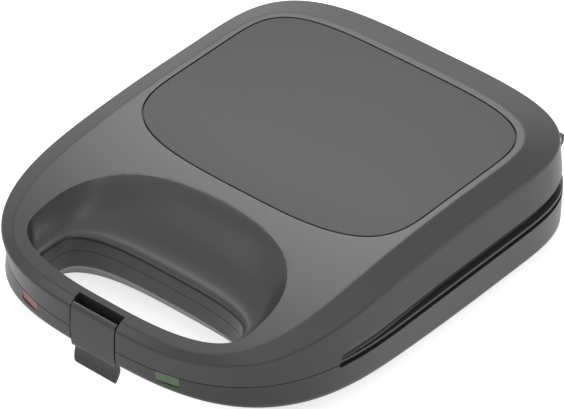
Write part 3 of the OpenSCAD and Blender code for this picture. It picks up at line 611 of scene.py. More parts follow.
class Stuff(Enum):
    """The finishes on this toaster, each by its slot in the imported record."""

    # Moulded ABS with a fine spark-eroded texture: satin, dark grey, soft wide highlights.
    HOUSING = ("housing", Finish("spark_textured_abs", "#353537", "#303032", 0.38, 0.7, 0.012))
    # The same plastic from a smoother tool: a little darker and cooler.
    PANEL = ("panel", Finish("smooth_abs_panel", "#2c2d30", "#292a2d", 0.38, 0.9, 0.006, 1.35))
    # Glass-filled polyamide, dull from its fibres.
    FRAME = ("inner_frame", Finish("filled_polyamide", "#3c3c3e", "#363638", 0.5, 0.9, 0.02))
    # Non-stick coating on cast aluminium: black, satin, faintly orange-peeled.
    PLATE = (
        "plate_coating",
        Finish("nonstick_on_cast_aluminium", "#262627", "#1f1f20", 0.3, 1.8, 0.02, 1.42, coat=0.3),
    )
    # Annealed heater tube: grey-brown steel, drawn along its length.
    SHEATH = (
        "heater_sheath",
        Finish("annealed_heater_tube", "#6f6c69", "#5b5753", 0.42, 1.2, 0.01, 1.5, 1.0),
    )
    # Zinc-plated steel pins, screws and sheet.
    STEEL = (
        "steel",
        Finish(
            "zinc_plated_steel", "#b9bbbf", "#a9abb0", 0.28, 0.8, 0.006, 1.5, 1.0, 12.0,
            stretch=(0.15, 1.0, 1.0),
        ),
    )
    # Frosted polycarbonate lenses over unlit lamps.
    RED_LENS = (
        "lens_red",
        Finish("frosted_red_lens", "#8f4a47", "#84423f", 0.38, 0.8, 0.008, 1.58, transmission=0.1),
    )
    GREEN_LENS = (
        "lens_green",
        Finish("frosted_green_lens", "#56774e", "#4e6e46", 0.38, 0.8, 0.008, 1.58, transmission=0.1),
    )
    # Thin clear glass of the neon lamps.
    BULB = (
        "bulb_glass",
        Finish("clear_lamp_glass", "#f3ece2", "#efe6da", 0.06, 2.0, 0.001, 1.5, transmission=0.9),
    )
    # Black rubber, dull, with a fine bloom.
    RUBBER = ("rubber", Finish("moulded_rubber", "#232324", "#1c1c1d", 0.7, 0.8, 0.03, 1.52))
    # Glazed steatite.
    CERAMIC = ("ceramic", Finish("glazed_steatite", "#e4dfd3", "#dad3c5", 0.25, 1.5, 0.01, 1.55))
    # Braided glass-fibre sleeve: pale, matt, with the braid's cross ribs.
    SLEEVE = (
        "sleeve",
        Finish("braided_glass_sleeve", "#d9d4c7", "#c8c1b0", 0.75, 0.9, 0.12, 1.5),
    )

    @property
    def slot(self) -> str:
        """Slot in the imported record."""
        return self.value[0]

    @property
    def finish(self) -> Finish:
        """The finish that fills the slot."""
        return self.value[1]


@dataclass
class Dresser:
    """Holds the built materials and gives them to pieces."""

    materials: dict[str, bpy.types.Material]

    @classmethod
    def ready(cls) -> "Dresser":
        """Builds every finish once."""
        return cls({stuff.slot: stuff.finish.build() for stuff in Stuff})

    def dress(self, piece: bpy.types.Object, stuff: Stuff) -> None:
        """Gives a piece one finish all over.

        Args:
            piece: the piece to dress.
            stuff: its finish.
        """
        piece.data.materials.clear()
        piece.data.materials.append(self.materials[stuff.slot])

    def dress_cad(self) -> None:
        """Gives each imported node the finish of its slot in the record."""
        for row in frame["record"]["subparts"]:
            node = frame["nodes"][row["node"]]
            for slot in node.material_slots:
                slot.material = self.materials[row["material_slot"]]
            LOG.info("dressed %s", row["node"])

    def hand_over(self, piece: bpy.types.Object, stuff: Stuff, body: str, node: str) -> None:
        """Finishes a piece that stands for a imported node.

        Args:
            piece: the finished piece.
            stuff: what it is made of.
            body: the body that it rides on.
            node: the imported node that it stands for.
        """
        self.dress(piece, stuff)
        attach(piece, body)
        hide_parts(node)
        LOG.info("%s stands for %s, %d faces", piece.name, node, len(piece.data.polygons))


# Handle


@dataclass
class Handle:
    """The opening behind the handle bar: a scoop in the roof that drops into a through hole."""

    scoop_half: float = 80.0
    hole_half: float = 66.0
    scoop_rear: float = 86.0
    hole_rear: float = 133.0
    bar: float = 12.8
    lip_z: float = 44.5
    lip_round: float = 3.2
    foot_z: float = 22.6

    def ring(self, t: float, grow: float = 0.0) -> Outline:
        """Outline of the opening at one depth; it gets squarer towards the hole.

        Args:
            t: 0 at the roof and 1 at the hole.
            grow: how much larger it is all round.

        Returns:
            The outline.
        """
        return FORM.plan(
            self.scoop_half + (self.hole_half - self.scoop_half) * t + grow,
            FORM.front - self.bar + grow,
            -(self.scoop_rear + (self.hole_rear - self.scoop_rear) * t - grow),
            (2.8 + 0.4 * t, 2.2 + t),
            (152 + 8 * t, -(148 + 8 * t)),
            flank=1,
        )

    def height(self, y: float, t: float) -> float:
        """Height of the scoop: soft where it leaves the roof at the rear, steep at the sides.

        Args:
            y: distance behind the plate middle.
            t: 0 at the roof and 1 at the hole.

        Returns:
            The height.
        """
        rearness = max(0.0, min(1.0, (y + 150) / 60))
        share = rearness * t * t * (3 - 2 * t) + (1 - rearness) * (1 - (1 - t) ** 2)
        return FORM.roof_z(y) * (1 - share) + self.lip_z * share + 0.15 * (1 - t)

    def through_lid(self, z_low: float, grow: float = 0.0, levels: int = 26) -> bpy.types.Object:
        """Body of the scoop and hole in the lid, down to a height.

        Args:
            z_low: lowest height.
            grow: how much larger it is all round.
            levels: rings in the scoop's depth.

        Returns:
            The body, ready to carve with.
        """
        hole = self.ring(1, grow)
        lip = level(hole, self.lip_z - grow)
        ease = 0.12
        run = [
            [(x, y, self.height(y, t) - grow) for x, y in self.ring(t, grow)]
            for t in [1 - ease - (1 - ease) * k / levels for k in range(levels + 1)]
        ]
        wall = [(x, y, z - self.lip_round) for x, y, z in lip]
        turn = [
            [
                tuple(Vector(a) * (1 - u) ** 2 + Vector(p) * 2 * u * (1 - u) + Vector(b) * u**2)
                for a, p, b in zip(wall, lip, run[0])
            ]
            for u in [j / 8 for j in range(8)]
        ]
        above = level(self.ring(0, grow), FORM.top_z + 6)
        return skin("scoop_body", [level(hole, z_low), *turn, *run, above], 3)

    def through_base(self, grow: float = 0.0) -> bpy.types.Object:
        """Body of the hole in the base, with its hollow for the fingers underneath.

        Args:
            grow: how much larger it is all round.

        Returns:
            The body, ready to carve with.
        """
        hole = self.ring(1, grow)
        wide = FORM.plan(
            self.hole_half + 14 + grow,
            FORM.front - self.bar + 3 + grow,
            -(self.hole_rear - 14 - grow),
            (3.2, 3.2),
            (160, -156),
            flank=1,
        )
        middle = [((2 * a + c) / 3, (2 * b + d) / 3) for (a, b), (c, d) in zip(hole, wide)]
        stations = [
            level(wide, 3.0),
            level(middle, self.foot_z - 5 + grow),
            level(hole, self.foot_z + grow),
            level(hole, FORM.parting_z + 2),
        ]
        return skin("finger_hollow", eased(stations, [0, 3, 1.2, 0]), 3)


HANDLE = Handle()


# Lid


@dataclass
class Channel:
    """Recess round the lid's sides above its lip; it runs out towards the handle."""

    depth: float = 5.2
    tip: float = 1.6
    height: float = 8.9
    floor_z: float = FORM.parting_z + FORM.gap / 2 + 1 + 1.4
    start: float = 123.0
    full: float = 40.0
    end_x: float = 90.0
    # Steepness of its front end, as rise over run.
    rise: float = 1.28
    # How far the carving body stands out of the wall.
    reach: float = 16.0
    # Height of the drafted wall between the parting line and the crease.
    wall_h: float = 32.0
    # How far the running-out recess ends in front of that wall.
    proud: float = 0.3
    lip_round: float = 0.7
    shares: tuple[float, ...] = (0.06, 0.12, 0.2, 0.3, 0.4, 0.5, 0.6, 0.7, 0.8, 0.9, 1.0)

    def line(self) -> Outline:
        """Outer line of the recess on the right side, from the handle to the rear."""
        outer = FORM.parting()
        half = len(outer) // 2
        dense = [
            (a[0] + (b[0] - a[0]) * k / 4, a[1] + (b[1] - a[1]) * k / 4)
            for a, b in zip(outer[:half], outer[1 : half + 1])
            for k in range(4)
        ]
        kept = [p for p in dense if p[1] > -self.start and (p[1] < 20 or p[0] > self.end_x)]
        first = [p for p in kept if p[1] < -self.start + 9]
        return first + kept[len(first) :: 2]

    def inset(self, y: float, height: float) -> float:
        """Depth of the recess behind the parting line.

        Args:
            y: distance behind the plate middle.
            height: height above the ledge.

        Returns:
            The depth: full on the ledge, and running out on the drafted wall above it.
        """
        share = max(0.0, min(1.0, (y + self.start) / (self.start - self.full)))
        floor = self.tip + (self.depth - self.tip) * share
        above = self.floor_z + height - FORM.parting_z
        wall = FORM.wall_draft * above / self.wall_h - self.proud
        return wall + (floor - wall) * (1 - height / self.height) ** 1.5

    def body(self) -> bpy.types.Object:
        """Carving body of the recess on the right side."""
        line = self.line()
        rows: list[Ring] = []
        for i, (x, y) in enumerate(line):
            ahead = line[min(len(line) - 1, i + 1)]
            behind = line[max(0, i - 1)]
            along = Vector((ahead[0] - behind[0], ahead[1] - behind[1])).normalized()
            out = Vector((along.y, -along.x))
            top = min(self.height, (y + self.start) * self.rise + 0.02)
            row = [(self.reach, 0.0), (self.lip_round - self.inset(y, 0), 0.0)]
            for share in self.shares:
                z = min(self.height * share, top)
                row.append((-self.inset(y, z), z))
            row.append((self.reach, top))
            rows.append([(x + out.x * o, y + out.y * o, self.floor_z + z) for o, z in row])
        count = len(rows[0])
        deselect()
        bpy.ops.mesh.primitive_grid_add(x_subdivisions=count, y_subdivisions=len(rows) - 1)
        piece = bpy.context.object
        piece.name = "channel_body"
        flat: list[float] = []
        for row in rows:
            for i in range(count + 1):
                x, y, z = row[i % count]
                flat += [x * MM, (y + SHIFT_Y) * MM, z * MM]
        piece.data.vertices.foreach_set("co", flat)
        piece.location = (0, 0, 0)
        in_edit(
            piece,
            lambda: bpy.ops.mesh.remove_doubles(threshold=1e-7),
            lambda: bpy.ops.mesh.dissolve_degenerate(threshold=1e-7),
            lambda: bpy.ops.mesh.select_all(action="DESELECT"),
            lambda: bpy.ops.mesh.select_non_manifold(),
            lambda: bpy.ops.mesh.fill(),
            lambda: bpy.ops.mesh.select_all(action="SELECT"),
            lambda: bpy.ops.mesh.normals_make_consistent(inside=False),
        )
        return piece


def mirrored(piece: bpy.types.Object) -> bpy.types.Object:
    """Copies a piece to the other side of the object, its faces still outwards."""
    twin = piece.copy()
    twin.data = piece.data.copy()
    bpy.context.scene.collection.objects.link(twin)
    twin.scale = (-1, 1, 1)
    settle(twin)
    in_edit(twin, lambda: bpy.ops.mesh.normals_make_consistent(inside=False))
    return twin


@dataclass
class Hinge:
    """Knuckles at the rear, turning on two steel pins, and the hollow one for the lead."""

    y: float = 112.4
    z: float = 35.9
    radius: float = 5.0
    pin: float = 2.05
    x: float = 70.0
    lid_w: float = 11.0
    ear_w: float = 6.0
    gap: float = 0.5
    lead_w: float = 20.0
    lead_bore: float = 3.0
    # How deep the knuckles' roots reach into the rear wall.
    lid_root: float = 5.7
    ear_root: float = 6.5
    # The step that keeps an ear's root below the inner frame.
    step_in: float = 0.8
    step_down: float = 2.5
    foot_gap: float = 0.9
    ear_gap: float = 0.3
    # Half the gap between the two halves of the hollow knuckle.
    lead_gap: float = 0.25

    def disc(self, start: float, end: float, steps: int = 20) -> Outline:
        """Arc of a knuckle, seen from the side.

        Args:
            start: its first angle in degrees.
            end: its last angle.
            steps: its number of segments.

        Returns:
            The arc's points as (y, z).
        """
        return [
            (
                self.y + self.radius * math.cos(math.radians(start + (end - start) * i / steps)),
                self.z + self.radius * math.sin(math.radians(start + (end - start) * i / steps)),
            )
            for i in range(steps + 1)
        ]

    def lid_profile(self) -> Outline:
        """Side view of a lid knuckle with its root in the rear wall."""
        root = FORM.rear - self.lid_root
        low = FORM.parting_z + FORM.gap / 2 + self.foot_gap
        foot = math.degrees(math.asin((low - self.z) / self.radius))
        return [(root, self.z + self.radius), (root, low), *self.disc(-180 - foot, 90, 26)]

    def ear_profile(self) -> Outline:
        """Side view of a base knuckle with its root in the rear wall."""
        root, wall = FORM.rear - self.ear_root, FORM.rear - self.step_in
        c = self.radius * math.cos(math.radians(45))
        top = FORM.parting_z - FORM.gap / 2 - self.ear_gap
        corner = math.degrees(math.asin((top - self.z) / self.radius))
        return [
            (wall, top),
            (wall, top - self.step_down),
            (root, top - self.step_down),
            (root, root - self.y + self.z - 2 * c),
            *self.disc(-45, 180 - corner, 30),
        ]


HINGE = Hinge()


@dataclass
class Latch:
    """The clip on the lid's front, flush with it, and the slot that it turns in."""

    half: float = 16.1
    gap: float = 0.8
    thick: float = 3.2
    pin_in: float = 4.7
    pin_y: float = 4.7 - FORM.front
    pin_z: float = 43.2
    pin_r: float = 1.55
    barrel: float = 3.9
    slot: float = 9.1
    knee_z: float = 20.8
    hook_w: float = 24.0
    hook_t: float = 2.8
    hook_l: float = 4.6
    lip_z: float = 10.5
    lip_r: float = 5.5
    # The seat in the base behind the clip, and the way in which its hook swings.
    seat: float = 3.6
    way_half: float = 12.6
    way: float = 8.0
    way_top: float = 24.0
    slot_low: float = 29.05
    slot_top: float = 69.05
    bore_reach: float = 20.3
    view_top: float = 60.0

    def clip_profile(self) -> Outline:
        """Side view of the clip, from the lip up the face, over the top and down.

        Returns:
            The outline's points as (y, z).
        """
        crown, low, lip = FORM.edge_z(-FORM.front), FORM.rim_z(-FORM.front), self.lip_z
        sketch = [
            (-0.1, lip + 0.8), (-0.9, lip + 1.9), (-2.1, lip + 3.7), (-3.0, lip + 6.0),
            (-3.3, low - 5.8), (-3.2, low - 5.0), (-2.2, low - 4.2), (-1.1, low - 3.0),
            (-0.5, low - 1.7), (-0.3, low), (0.0, FORM.parting_z), (-0.85, crown - 0.3),
            (-1.3, crown + 0.8), (-2.2, crown + 2.1), (-3.0, crown + 2.8), (-3.7, crown + 2.7),
            (-4.1, crown + 1.9), (-4.1, crown - 0.4),
        ]
        barrel = [
            (-self.pin_in + self.barrel * math.cos(a), self.pin_z + self.barrel * math.sin(a))
            for a in [math.radians(81 + i * 7) for i in range(27)]
        ]
        back = [
            (-3.2, low - 2.4), (-4.6, low - 3.8), (-5.1, low - 6), (-4.9, lip + 6.1),
            (-4.0, lip + 3.7), (-2.6, lip + 1.5), (-1.7, lip + 0.1), (-0.5, lip),
        ]
        return [(-FORM.front - y, z) for y, z in sketch + barrel + back]

    def front_view(self) -> Outline:
        """Front view of the clip, with the round corners of its lip.

        Returns:
            The outline's points as (x, z).
        """
        turn = [math.radians(i * 9) for i in range(11)]
        x, z, r = self.half - self.lip_r, self.lip_z + self.lip_r, self.lip_r
        right = [(x + r * math.sin(a), z - r * math.cos(a)) for a in turn]
        left = [(-x, z) for x, z in reversed(right)]
        return right + [(self.half, self.view_top), (-self.half, self.view_top)] + left


LATCH = Latch()
# Places of the screws that hold the inner frames, and the bosses round them.
FRAME_SCREWS: tuple[Point2, ...] = ((-60, 87.6), (60, 87.6), (-90, -88), (90, -88))
BOSS_R = 5.0
SCREW_R = 1.8
# What the lid has above the rim gap, and the base below it.
LID_RELIEF = 1.0
BASE_RELIEF = 2.1
# The rim gap runs from here to the rear, past the walls on every side.
GAP_START = -123
GAP_SIDE = 130


@dataclass
class Lid:
    """Upper housing, its panel, and what it is carved by."""

    panel_t: float = 1.6

    def housing(self) -> bpy.types.Object:
        """Builds the upper housing from its outer skin inwards.

        Returns:
            The housing with its scoop, hole, channel, slot, knuckles and bosses.
        """
        low = FORM.parting_z + FORM.gap / 2
        stations = [
            level(FORM.parting(1.2), low),
            level(FORM.parting(), low),
            draped(FORM.crease(), FORM.edge_z),
            draped(FORM.roof(), FORM.roof_z),
            draped(FORM.roof(5), FORM.roof_z),
        ]
        piece = skin("lid_shell", eased(stations, [0, 0.35, 1.6, 1.0, 0], 6), 22)
        carve(piece, self.hollow(low))
        carve(piece, HANDLE.through_lid(low - 3))
        carve(piece, self.slot_body(0))
        channel = Channel().body()
        twin = mirrored(channel)
        carve(piece, channel)
        carve(piece, twin)
        gap = ((-GAP_SIDE, GAP_START, low - 1), (GAP_SIDE, GAP_SIDE, low + LID_RELIEF))
        carve(piece, block("rim_gap", *gap))
        carve(piece, self.recess())
        self.add_mounts(piece, low)
        smoothed(piece)
        return piece

    def hollow(self, low: float) -> bpy.types.Object:
        """Body of the space inside the lid, less the walls round scoop and slot.

        Args:
            low: height of the lid's lower edge.

        Returns:
            The body, ready to carve with.
        """
        wall = FORM.wall
        inset = Channel.depth + wall
        bottom = FORM.plan(
            FORM.half_w - inset, FORM.front - wall, FORM.rear - inset, FORM.crease_power
        )
        top = FORM.roof(wall)
        rings = [
            level(bottom, low - 1),
            draped(bottom, FORM.edge_z, -5),
            draped(top, FORM.roof_z, -4.2),
        ]
        body = skin("lid_hollow", rings, 8)
        carve(body, HANDLE.through_lid(low - 3, wall, 8))
        carve(body, self.slot_body(wall))
        return body

    def slot_body(self, grow: float) -> bpy.types.Object:
        """Body of the slot that the clip turns in.

        Args:
            grow: how much larger it is than the slot.

        Returns:
            The body, ready to carve with.
        """
        half = LATCH.half + LATCH.gap + grow
        back = -FORM.front + LATCH.slot + grow
        low = (FRONT_X - half, -FORM.front - 10, LATCH.slot_low)
        return block("latch_slot", low, (FRONT_X + half, back, LATCH.slot_top))

    def recess(self) -> bpy.types.Object:
        """Body of the recess that holds the panel, with a softened upper edge."""
        stations = [
            draped(FORM.panel(0.6), FORM.roof_z, -self.panel_t),
            draped(FORM.panel(0.6), FORM.roof_z, -0.35),
            draped(FORM.panel(0.7), FORM.roof_z, -0.1),
            draped(FORM.panel(0.95), FORM.roof_z, 0.02),
            level(FORM.panel(0.95), FORM.top_z + 2),
        ]
        return skin("panel_recess", stations, 16)

    def add_mounts(self, piece: bpy.types.Object, low: float) -> None:
        """Joins knuckles and bosses to the housing and drills them.

        Args:
            piece: the housing.
            low: height of its lower edge.
        """
        boss_top = FORM.roof_z(FRAME_SCREWS[-1][1]) - 1.5
        for x, y in FRAME_SCREWS:
            boss = rod("boss", (x, y, low + 2.5), (x, y, boss_top), BOSS_R)
            carve(piece, boss, Cut.ONTO)
        half = HINGE.lid_w / 2
        knuckles = (
            (-HINGE.x - half, -HINGE.x + half),
            (HINGE.x - half, HINGE.x + half),
            (HINGE.lead_gap, HINGE.lead_w),
        )
        for x0, x1 in knuckles:
            carve(piece, drawn_through("knuckle", HINGE.lid_profile(), x0, x1), Cut.ONTO)
        for x, y in FRAME_SCREWS:
            carve(piece, rod("drill", (x, y, low - 1), (x, y, low + 16), SCREW_R))
        axis = (HINGE.y, HINGE.z)
        for side in (-1, 1):
            carve(piece, rod("pin_bore", (side * 80, *axis), (side * 60, *axis), HINGE.pin))
        x = HINGE.lead_w / 2
        carve(piece, rod("lead_bore", (-1, *axis), (x + 1.8, *axis), HINGE.lead_bore))
        carve(piece, rod("lead_way", (x, *axis), (x, HINGE.y - 30, HINGE.z), HINGE.lead_bore))
        reach = LATCH.bore_reach
        ends = [(FRONT_X + x, LATCH.pin_y, LATCH.pin_z) for x in (-reach, reach)]
        carve(piece, rod("latch_bore", *ends, LATCH.pin_r))

    def panel(self) -> bpy.types.Object:
        """Builds the inset panel, its upper edge softened."""
        stations = [
            draped(FORM.panel(), FORM.roof_z, -self.panel_t),
            draped(FORM.panel(), FORM.roof_z, -0.1),
            draped(FORM.panel(-4), FORM.roof_z, -0.1),
        ]
        piece = skin("lid_panel_skin", eased(stations, [0, 0.5, 0], 5), 22)
        smoothed(piece)
        return piece

    def clip(self) -> bpy.types.Object:
        """Builds the latch clip with its barrel, hook and pull lip."""
        piece = drawn_through(
            "latch_clip_body", LATCH.clip_profile(), FRONT_X - LATCH.half, FRONT_X + LATCH.half
        )
        # The front view is drawn as a side view and then turned a quarter to face the front.
        outline = drawn_through("front_view", LATCH.front_view(), 0, 40)
        for vertex in outline.data.vertices:
            depth, across, height = vertex.co
            vertex.co = (across + (FRONT_X - SHIFT_Y) * MM, depth - 0.165, height)
        in_edit(outline, lambda: bpy.ops.mesh.normals_make_consistent(inside=False))
        carve(piece, outline, Cut.WITHIN)
        modifier = piece.modifiers.new("edges", "BEVEL")
        modifier.width = 0.45 * MM
        modifier.segments = 3
        modifier.limit_method = "ANGLE"
        modifier.angle_limit = math.radians(50)
        pick(piece)
        bpy.ops.object.modifier_apply(modifier=modifier.name)
        half = LATCH.hook_w / 2
        back = -FORM.front + LATCH.thick - 0.5
        hook = block(
            "hook",
            (FRONT_X - half, back, LATCH.knee_z),
            (FRONT_X + half, back + LATCH.hook_l, LATCH.knee_z + LATCH.hook_t),
            0.3,
        )
        carve(piece, hook, Cut.ONTO)
        ends = [(FRONT_X + x, LATCH.pin_y, LATCH.pin_z) for x in (-30, 30)]
        carve(piece, rod("bore", *ends, LATCH.pin_r))
        smoothed(piece, 45)
        return piece

    def build(self, dresser: Dresser) -> None:
        """Builds and hands over the lid's own pieces."""
        dresser.hand_over(self.housing(), Stuff.HOUSING, "lid", "lid_housing")
        dresser.hand_over(self.panel(), Stuff.PANEL, "lid", "lid_panel")
        dresser.hand_over(self.clip(), Stuff.HOUSING, "latch", "latch_clip")


# Base


@dataclass
class Base:
    """Lower housing and what it is carved by."""

    feet: tuple[Point2, ...] = ((-84, 78), (84, 78), (-84, -46), (84, -46))
    lamp_x: float = 51.5
    lamp_w: float = 15.0
    lamp_h: float = 6.0
    reflector_z: float = 12.25
    floor_z: float = 5.25
    rib_x: float = 60.0
    rib_rear: float = 68.1
    foot_r: float = 8.0
    head_r: float = 3.5
    head_z: float = 14.0
    gland_x: float = 40.0
    gland_z: float = 19.0
    gland_r: float = 5.7
    pad_r: float = 8.6

    def housing(self) -> bpy.types.Object:
        """Builds the lower housing from its outer skin inwards.

        Returns:
            The housing with its hole, keeper, lamp windows, knuckles, ribs and bosses.
        """
        top = FORM.parting_z - FORM.gap / 2
        stations = [
            draped(FORM.under(4), FORM.under_z),
            draped(FORM.under(), FORM.under_z),
            draped(FORM.rim(), FORM.rim_z),
            level(FORM.parting(), top),
            level(FORM.parting(1.2), top),
        ]
        piece = skin("base_shell", eased(stations, [0, 3, 3, 0.35, 0], 6), 22)
        self.carve_lamps(piece, top)
        carve(piece, HANDLE.through_base())
        carve(piece, self.hollow(top))
        gap = ((-GAP_SIDE, GAP_START, top - BASE_RELIEF), (GAP_SIDE, GAP_SIDE, top + 2))
        carve(piece, block("rim_gap", *gap))
        front = -FORM.front
        half = LATCH.half + LATCH.gap
        seat = ((FRONT_X - half, front - 10, -1), (FRONT_X + half, front + LATCH.seat, 60))
        carve(piece, block("clip_seat", *seat))
        way_end = (FRONT_X + LATCH.way_half, front + LATCH.way, LATCH.way_top)
        way = ((FRONT_X - LATCH.way_half, front - 10, -1), way_end)
        carve(piece, block("hook_way", *way))
        self.add_mounts(piece, top)
        smoothed(piece)
        return piece

    def hollow(self, top: float) -> bpy.types.Object:
        """Body of the space inside the base, less the walls round hole and keeper.

        Args:
            top: height of the base's upper edge.

        Returns:
            The body, ready to carve with.
        """
        wall = FORM.wall
        rings = [
            draped(FORM.under(wall), FORM.under_z, 2.5),
            draped(FORM.rim(wall), FORM.rim_z, 1),
            level(FORM.parting(wall), top + 1.15),
        ]
        body = skin("base_hollow", rings, 8)
        carve(body, HANDLE.through_base(wall))
        half = LATCH.half + LATCH.gap + wall
        keeper = block(
            "keeper",
            (FRONT_X - half, -FORM.front - 3, -3),
            (FRONT_X + half, -FORM.front + HANDLE.bar, 41),
        )
        carve(body, keeper)
        return body

    def lamp_place(self, side: int) -> tuple[Vector, float]:
        """Place of a lamp on the curved front, and its turn about the vertical.

        Args:
            side: -1 for the left lamp and 1 for the right one.

        Returns:
            The point on the parting line and the turn in radians.
        """
        reach = FORM.front - FORM.front_turn
        x, power = self.lamp_x + side * FRONT_X, FORM.parting_power[0]
        share = (x / FORM.half_w) ** power
        depth = reach * (1 - share) ** (1 / power)
        slope = reach / x * share * (1 - share) ** (1 / power - 1)
        return Vector((side * x, -FORM.front_turn - depth, 0)), side * math.atan(slope)

    def carve_lamps(self, piece: bpy.types.Object, top: float) -> None:
        """Cuts the lamp windows.

        Args:
            piece: the housing.
            top: height of its upper edge.
        """
        for side in (-1, 1):
            place, turn = self.lamp_place(side)
            window = block(
                "window",
                (-self.lamp_w / 2, -5 - SHIFT_Y, top - self.lamp_h),
                (self.lamp_w / 2, 5 - SHIFT_Y, top + 1),
            )
            window.rotation_euler = (0, 0, turn)
            window.location = (place.x * MM, (place.y + SHIFT_Y) * MM, 0)
            settle(window)
            carve(piece, window)

    def add_mounts(self, piece: bpy.types.Object, top: float) -> None:
        """Joins knuckles, ribs and bosses to the housing and drills them.

        Args:
            piece: the housing.
            top: height of its upper edge.
        """
        for x, y in FRAME_SCREWS:
            boss = rod("boss", (x, y, self.floor_z), (x, y, top - 2.5), BOSS_R)
            carve(piece, boss, Cut.ONTO)
        for x in (-self.rib_x, self.rib_x):
            low = (x - 1.5, -59, self.floor_z)
            rib = block("rib", low, (x + 1.5, self.rib_rear, self.reflector_z))
            carve(piece, rib, Cut.ONTO)
        half = HINGE.lid_w / 2 + HINGE.gap
        for side in (-1, 1):
            for a in (HINGE.x - half - HINGE.ear_w, HINGE.x + half):
                x0, x1 = sorted((side * a, side * (a + HINGE.ear_w)))
                carve(piece, drawn_through("ear", HINGE.ear_profile(), x0, x1), Cut.ONTO)
        lead_ear = drawn_through("ear", HINGE.ear_profile(), -HINGE.lead_w, -HINGE.lead_gap)
        carve(piece, lead_ear, Cut.ONTO)
        x, z = self.gland_x, self.gland_z
        carve(piece, rod("gland_pad", (x, 106.6, z), (x, 102.6, z), self.pad_r), Cut.ONTO)
        for x, y in self.feet:
            carve(piece, rod("foot_seat", (x, y, -1), (x, y, 5), self.foot_r))
        for x, y in FRAME_SCREWS:
            carve(piece, rod("drill", (x, y, 0), (x, y, FORM.parting_z), SCREW_R))
            carve(piece, rod("head_bore", (x, y, 0), (x, y, self.head_z), self.head_r))
        axis = (HINGE.y, HINGE.z)
        for side in (-1, 1):
            carve(piece, rod("pin_bore", (side * 90, *axis), (side * 50, *axis), HINGE.pin))
        x = -HINGE.lead_w / 2
        carve(piece, rod("lead_bore", (x - 1.8, *axis), (1, *axis), HINGE.lead_bore))
        drop = 24 * math.cos(math.radians(45))
        lead_end = (x, HINGE.y - drop, HINGE.z - drop)
        carve(piece, rod("lead_way", (x, *axis), lead_end, HINGE.lead_bore))
        x, z = self.gland_x, self.gland_z
        carve(piece, rod("gland_hole", (x, 116, z), (x, 96, z), self.gland_r))

    def build(self, dresser: Dresser) -> None:
        """Builds and hands over the base's own pieces."""
        dresser.hand_over(self.housing(), Stuff.HOUSING, "base", "base_housing")


# Studio


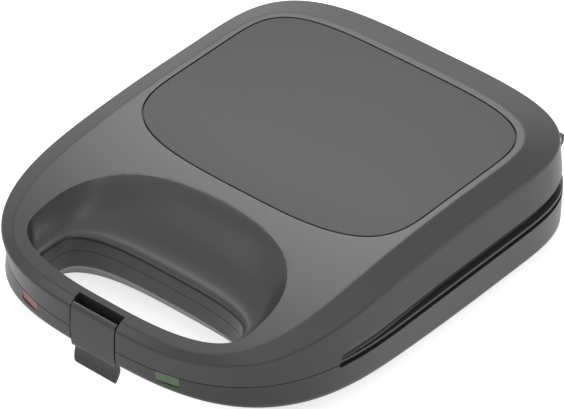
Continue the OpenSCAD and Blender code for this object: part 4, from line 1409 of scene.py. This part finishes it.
@dataclass
class Studio:
    """Camera, floor and soft lights."""

    azimuth: float = 40.708
    elevation: float = 37.575
    # Distance of the camera along its view, and where the plate middle's roof point falls.
    depth: float = 2472.0
    focal_px: float = 4363.0
    aim: Point3 = (0.0, SHIFT_Y, 72.0)
    aim_px: Point2 = (325.55, 123.82)
    sensor_mm: float = 36.0
    # Each lamp's name, azimuth, elevation, distance, size and power, as add_light takes them.
    lamps: tuple[tuple[str, float, float, float, Point2, float], ...] = (
        ("overhead", 20, 80, 1.6, (1.6, 1.6), 5),
        ("behind", 221, 46, 1.3, (0.65, 0.45), 5.2),
        ("right_edge", 131, 24, 1.5, (0.5, 0.3), 2.0),
        ("front_edge", 318, 36, 1.5, (0.4, 0.3), 1.6),
        ("scoop_side", 50, 50, 1.5, (0.3, 0.3), 1.6),
    )

    def axes(self) -> tuple[Vector, Vector, Vector]:
        """The camera's right, up and back directions."""
        a, e = math.radians(self.azimuth), math.radians(self.elevation)
        back = Vector((math.sin(a) * math.cos(e), -math.cos(a) * math.cos(e), math.sin(e)))
        right = Vector((math.cos(a), math.sin(a), 0))
        return right, back.cross(right), back

    def set_camera(self) -> None:
        """Puts the camera where the picture was taken from."""
        right, up, back = self.axes()
        ox = (self.aim_px[0] - PHOTO_SIZE[0] / 2) / self.focal_px
        oy = (PHOTO_SIZE[1] / 2 - self.aim_px[1]) / self.focal_px
        place = Vector(self.aim) - self.depth * (right * ox + up * oy - back)
        data = bpy.data.cameras.new("view")
        data.sensor_width = self.sensor_mm
        data.lens = self.focal_px / PHOTO_SIZE[0] * self.sensor_mm
        data.clip_start, data.clip_end = 0.1, 50
        camera = bpy.data.objects.new("view", data)
        bpy.context.scene.collection.objects.link(camera)
        camera.location = place * MM
        camera.rotation_mode = "QUATERNION"
        camera.rotation_quaternion = back.to_track_quat("Z", "Y")
        bpy.context.scene.camera = camera

    def add_light(
        self, name: str, azimuth: float, elevation: float, distance: float, size: Point2, power: float
    ) -> None:
        """Hangs a rectangular soft light that faces the object.

        Args:
            name: the light's name.
            azimuth: its direction in degrees, 0 in front of the handle and 90 to the right.
            elevation: its height above the horizon in degrees.
            distance: its distance in metres.
            size: its width and height in metres.
            power: its power in watts.
        """
        a, e = math.radians(azimuth), math.radians(elevation)
        data = bpy.data.lights.new(name, "AREA")
        data.shape = "RECTANGLE"
        data.size, data.size_y = size
        data.energy = power
        light = bpy.data.objects.new(name, data)
        bpy.context.scene.collection.objects.link(light)
        out = Vector((math.sin(a) * math.cos(e), -math.cos(a) * math.cos(e), math.sin(e)))
        light.location = out * distance
        light.rotation_mode = "QUATERNION"
        light.rotation_quaternion = out.to_track_quat("Z", "Y")

    def light_world(self) -> None:
        """White for the camera and for reflections, and a soft grey for everything else."""
        world = bpy.data.worlds.new("studio")
        bpy.context.scene.world = world
        world.use_nodes = True
        tree = world.node_tree
        tree.nodes.clear()
        soft = add_node(tree, "ShaderNodeBackground", {"Color": (1, 1, 1, 1), "Strength": 0.35})
        white = add_node(tree, "ShaderNodeBackground", {"Color": (1, 1, 1, 1), "Strength": 1.0})
        mix = add_node(tree, "ShaderNodeMixShader", links={"Fac": seen_or_mirrored(tree)})
        tree.links.new(soft.outputs[0], mix.inputs[1])
        tree.links.new(white.outputs[0], mix.inputs[2])
        add_node(tree, "ShaderNodeOutputWorld", links={"Surface": mix.outputs[0]})

    def lay_floor(self) -> None:
        """Lays a white floor that keeps a faint shadow."""
        deselect()
        bpy.ops.mesh.primitive_plane_add(size=12)
        floor = bpy.context.object
        floor.name = "floor"
        material = bpy.data.materials.new("white_paper")
        material.use_nodes = True
        tree = material.node_tree
        tree.nodes.clear()
        paper = add_node(tree, "ShaderNodeBsdfDiffuse", {"Color": linear("#e6e6e6")})
        glow = add_node(tree, "ShaderNodeEmission", {"Color": (1, 1, 1, 1), "Strength": 0.75})
        sum_ = add_node(tree, "ShaderNodeAddShader")
        tree.links.new(paper.outputs[0], sum_.inputs[0])
        tree.links.new(glow.outputs[0], sum_.inputs[1])
        mix = add_node(tree, "ShaderNodeMixShader", links={"Fac": seen_or_mirrored(tree)})
        tree.links.new(paper.outputs[0], mix.inputs[1])
        tree.links.new(sum_.outputs[0], mix.inputs[2])
        add_node(tree, "ShaderNodeOutputMaterial", links={"Surface": mix.outputs[0]})
        floor.data.materials.append(material)

    def build(self) -> None:
        """Sets up the whole studio."""
        self.set_camera()
        self.light_world()
        self.lay_floor()
        for lamp in self.lamps:
            self.add_light(*lamp)
        bpy.context.scene.view_settings.view_transform = "Standard"


def main() -> None:
    """Builds the studio, then each half of the toaster."""
    logging.basicConfig(level=logging.INFO, format="%(message)s")
    studio = Studio()
    studio.build()
    dresser = Dresser.ready()
    dresser.dress_cad()
    Lid().build(dresser)
    Base().build(dresser)
    deselect()


if __name__ == "__main__":
    main()
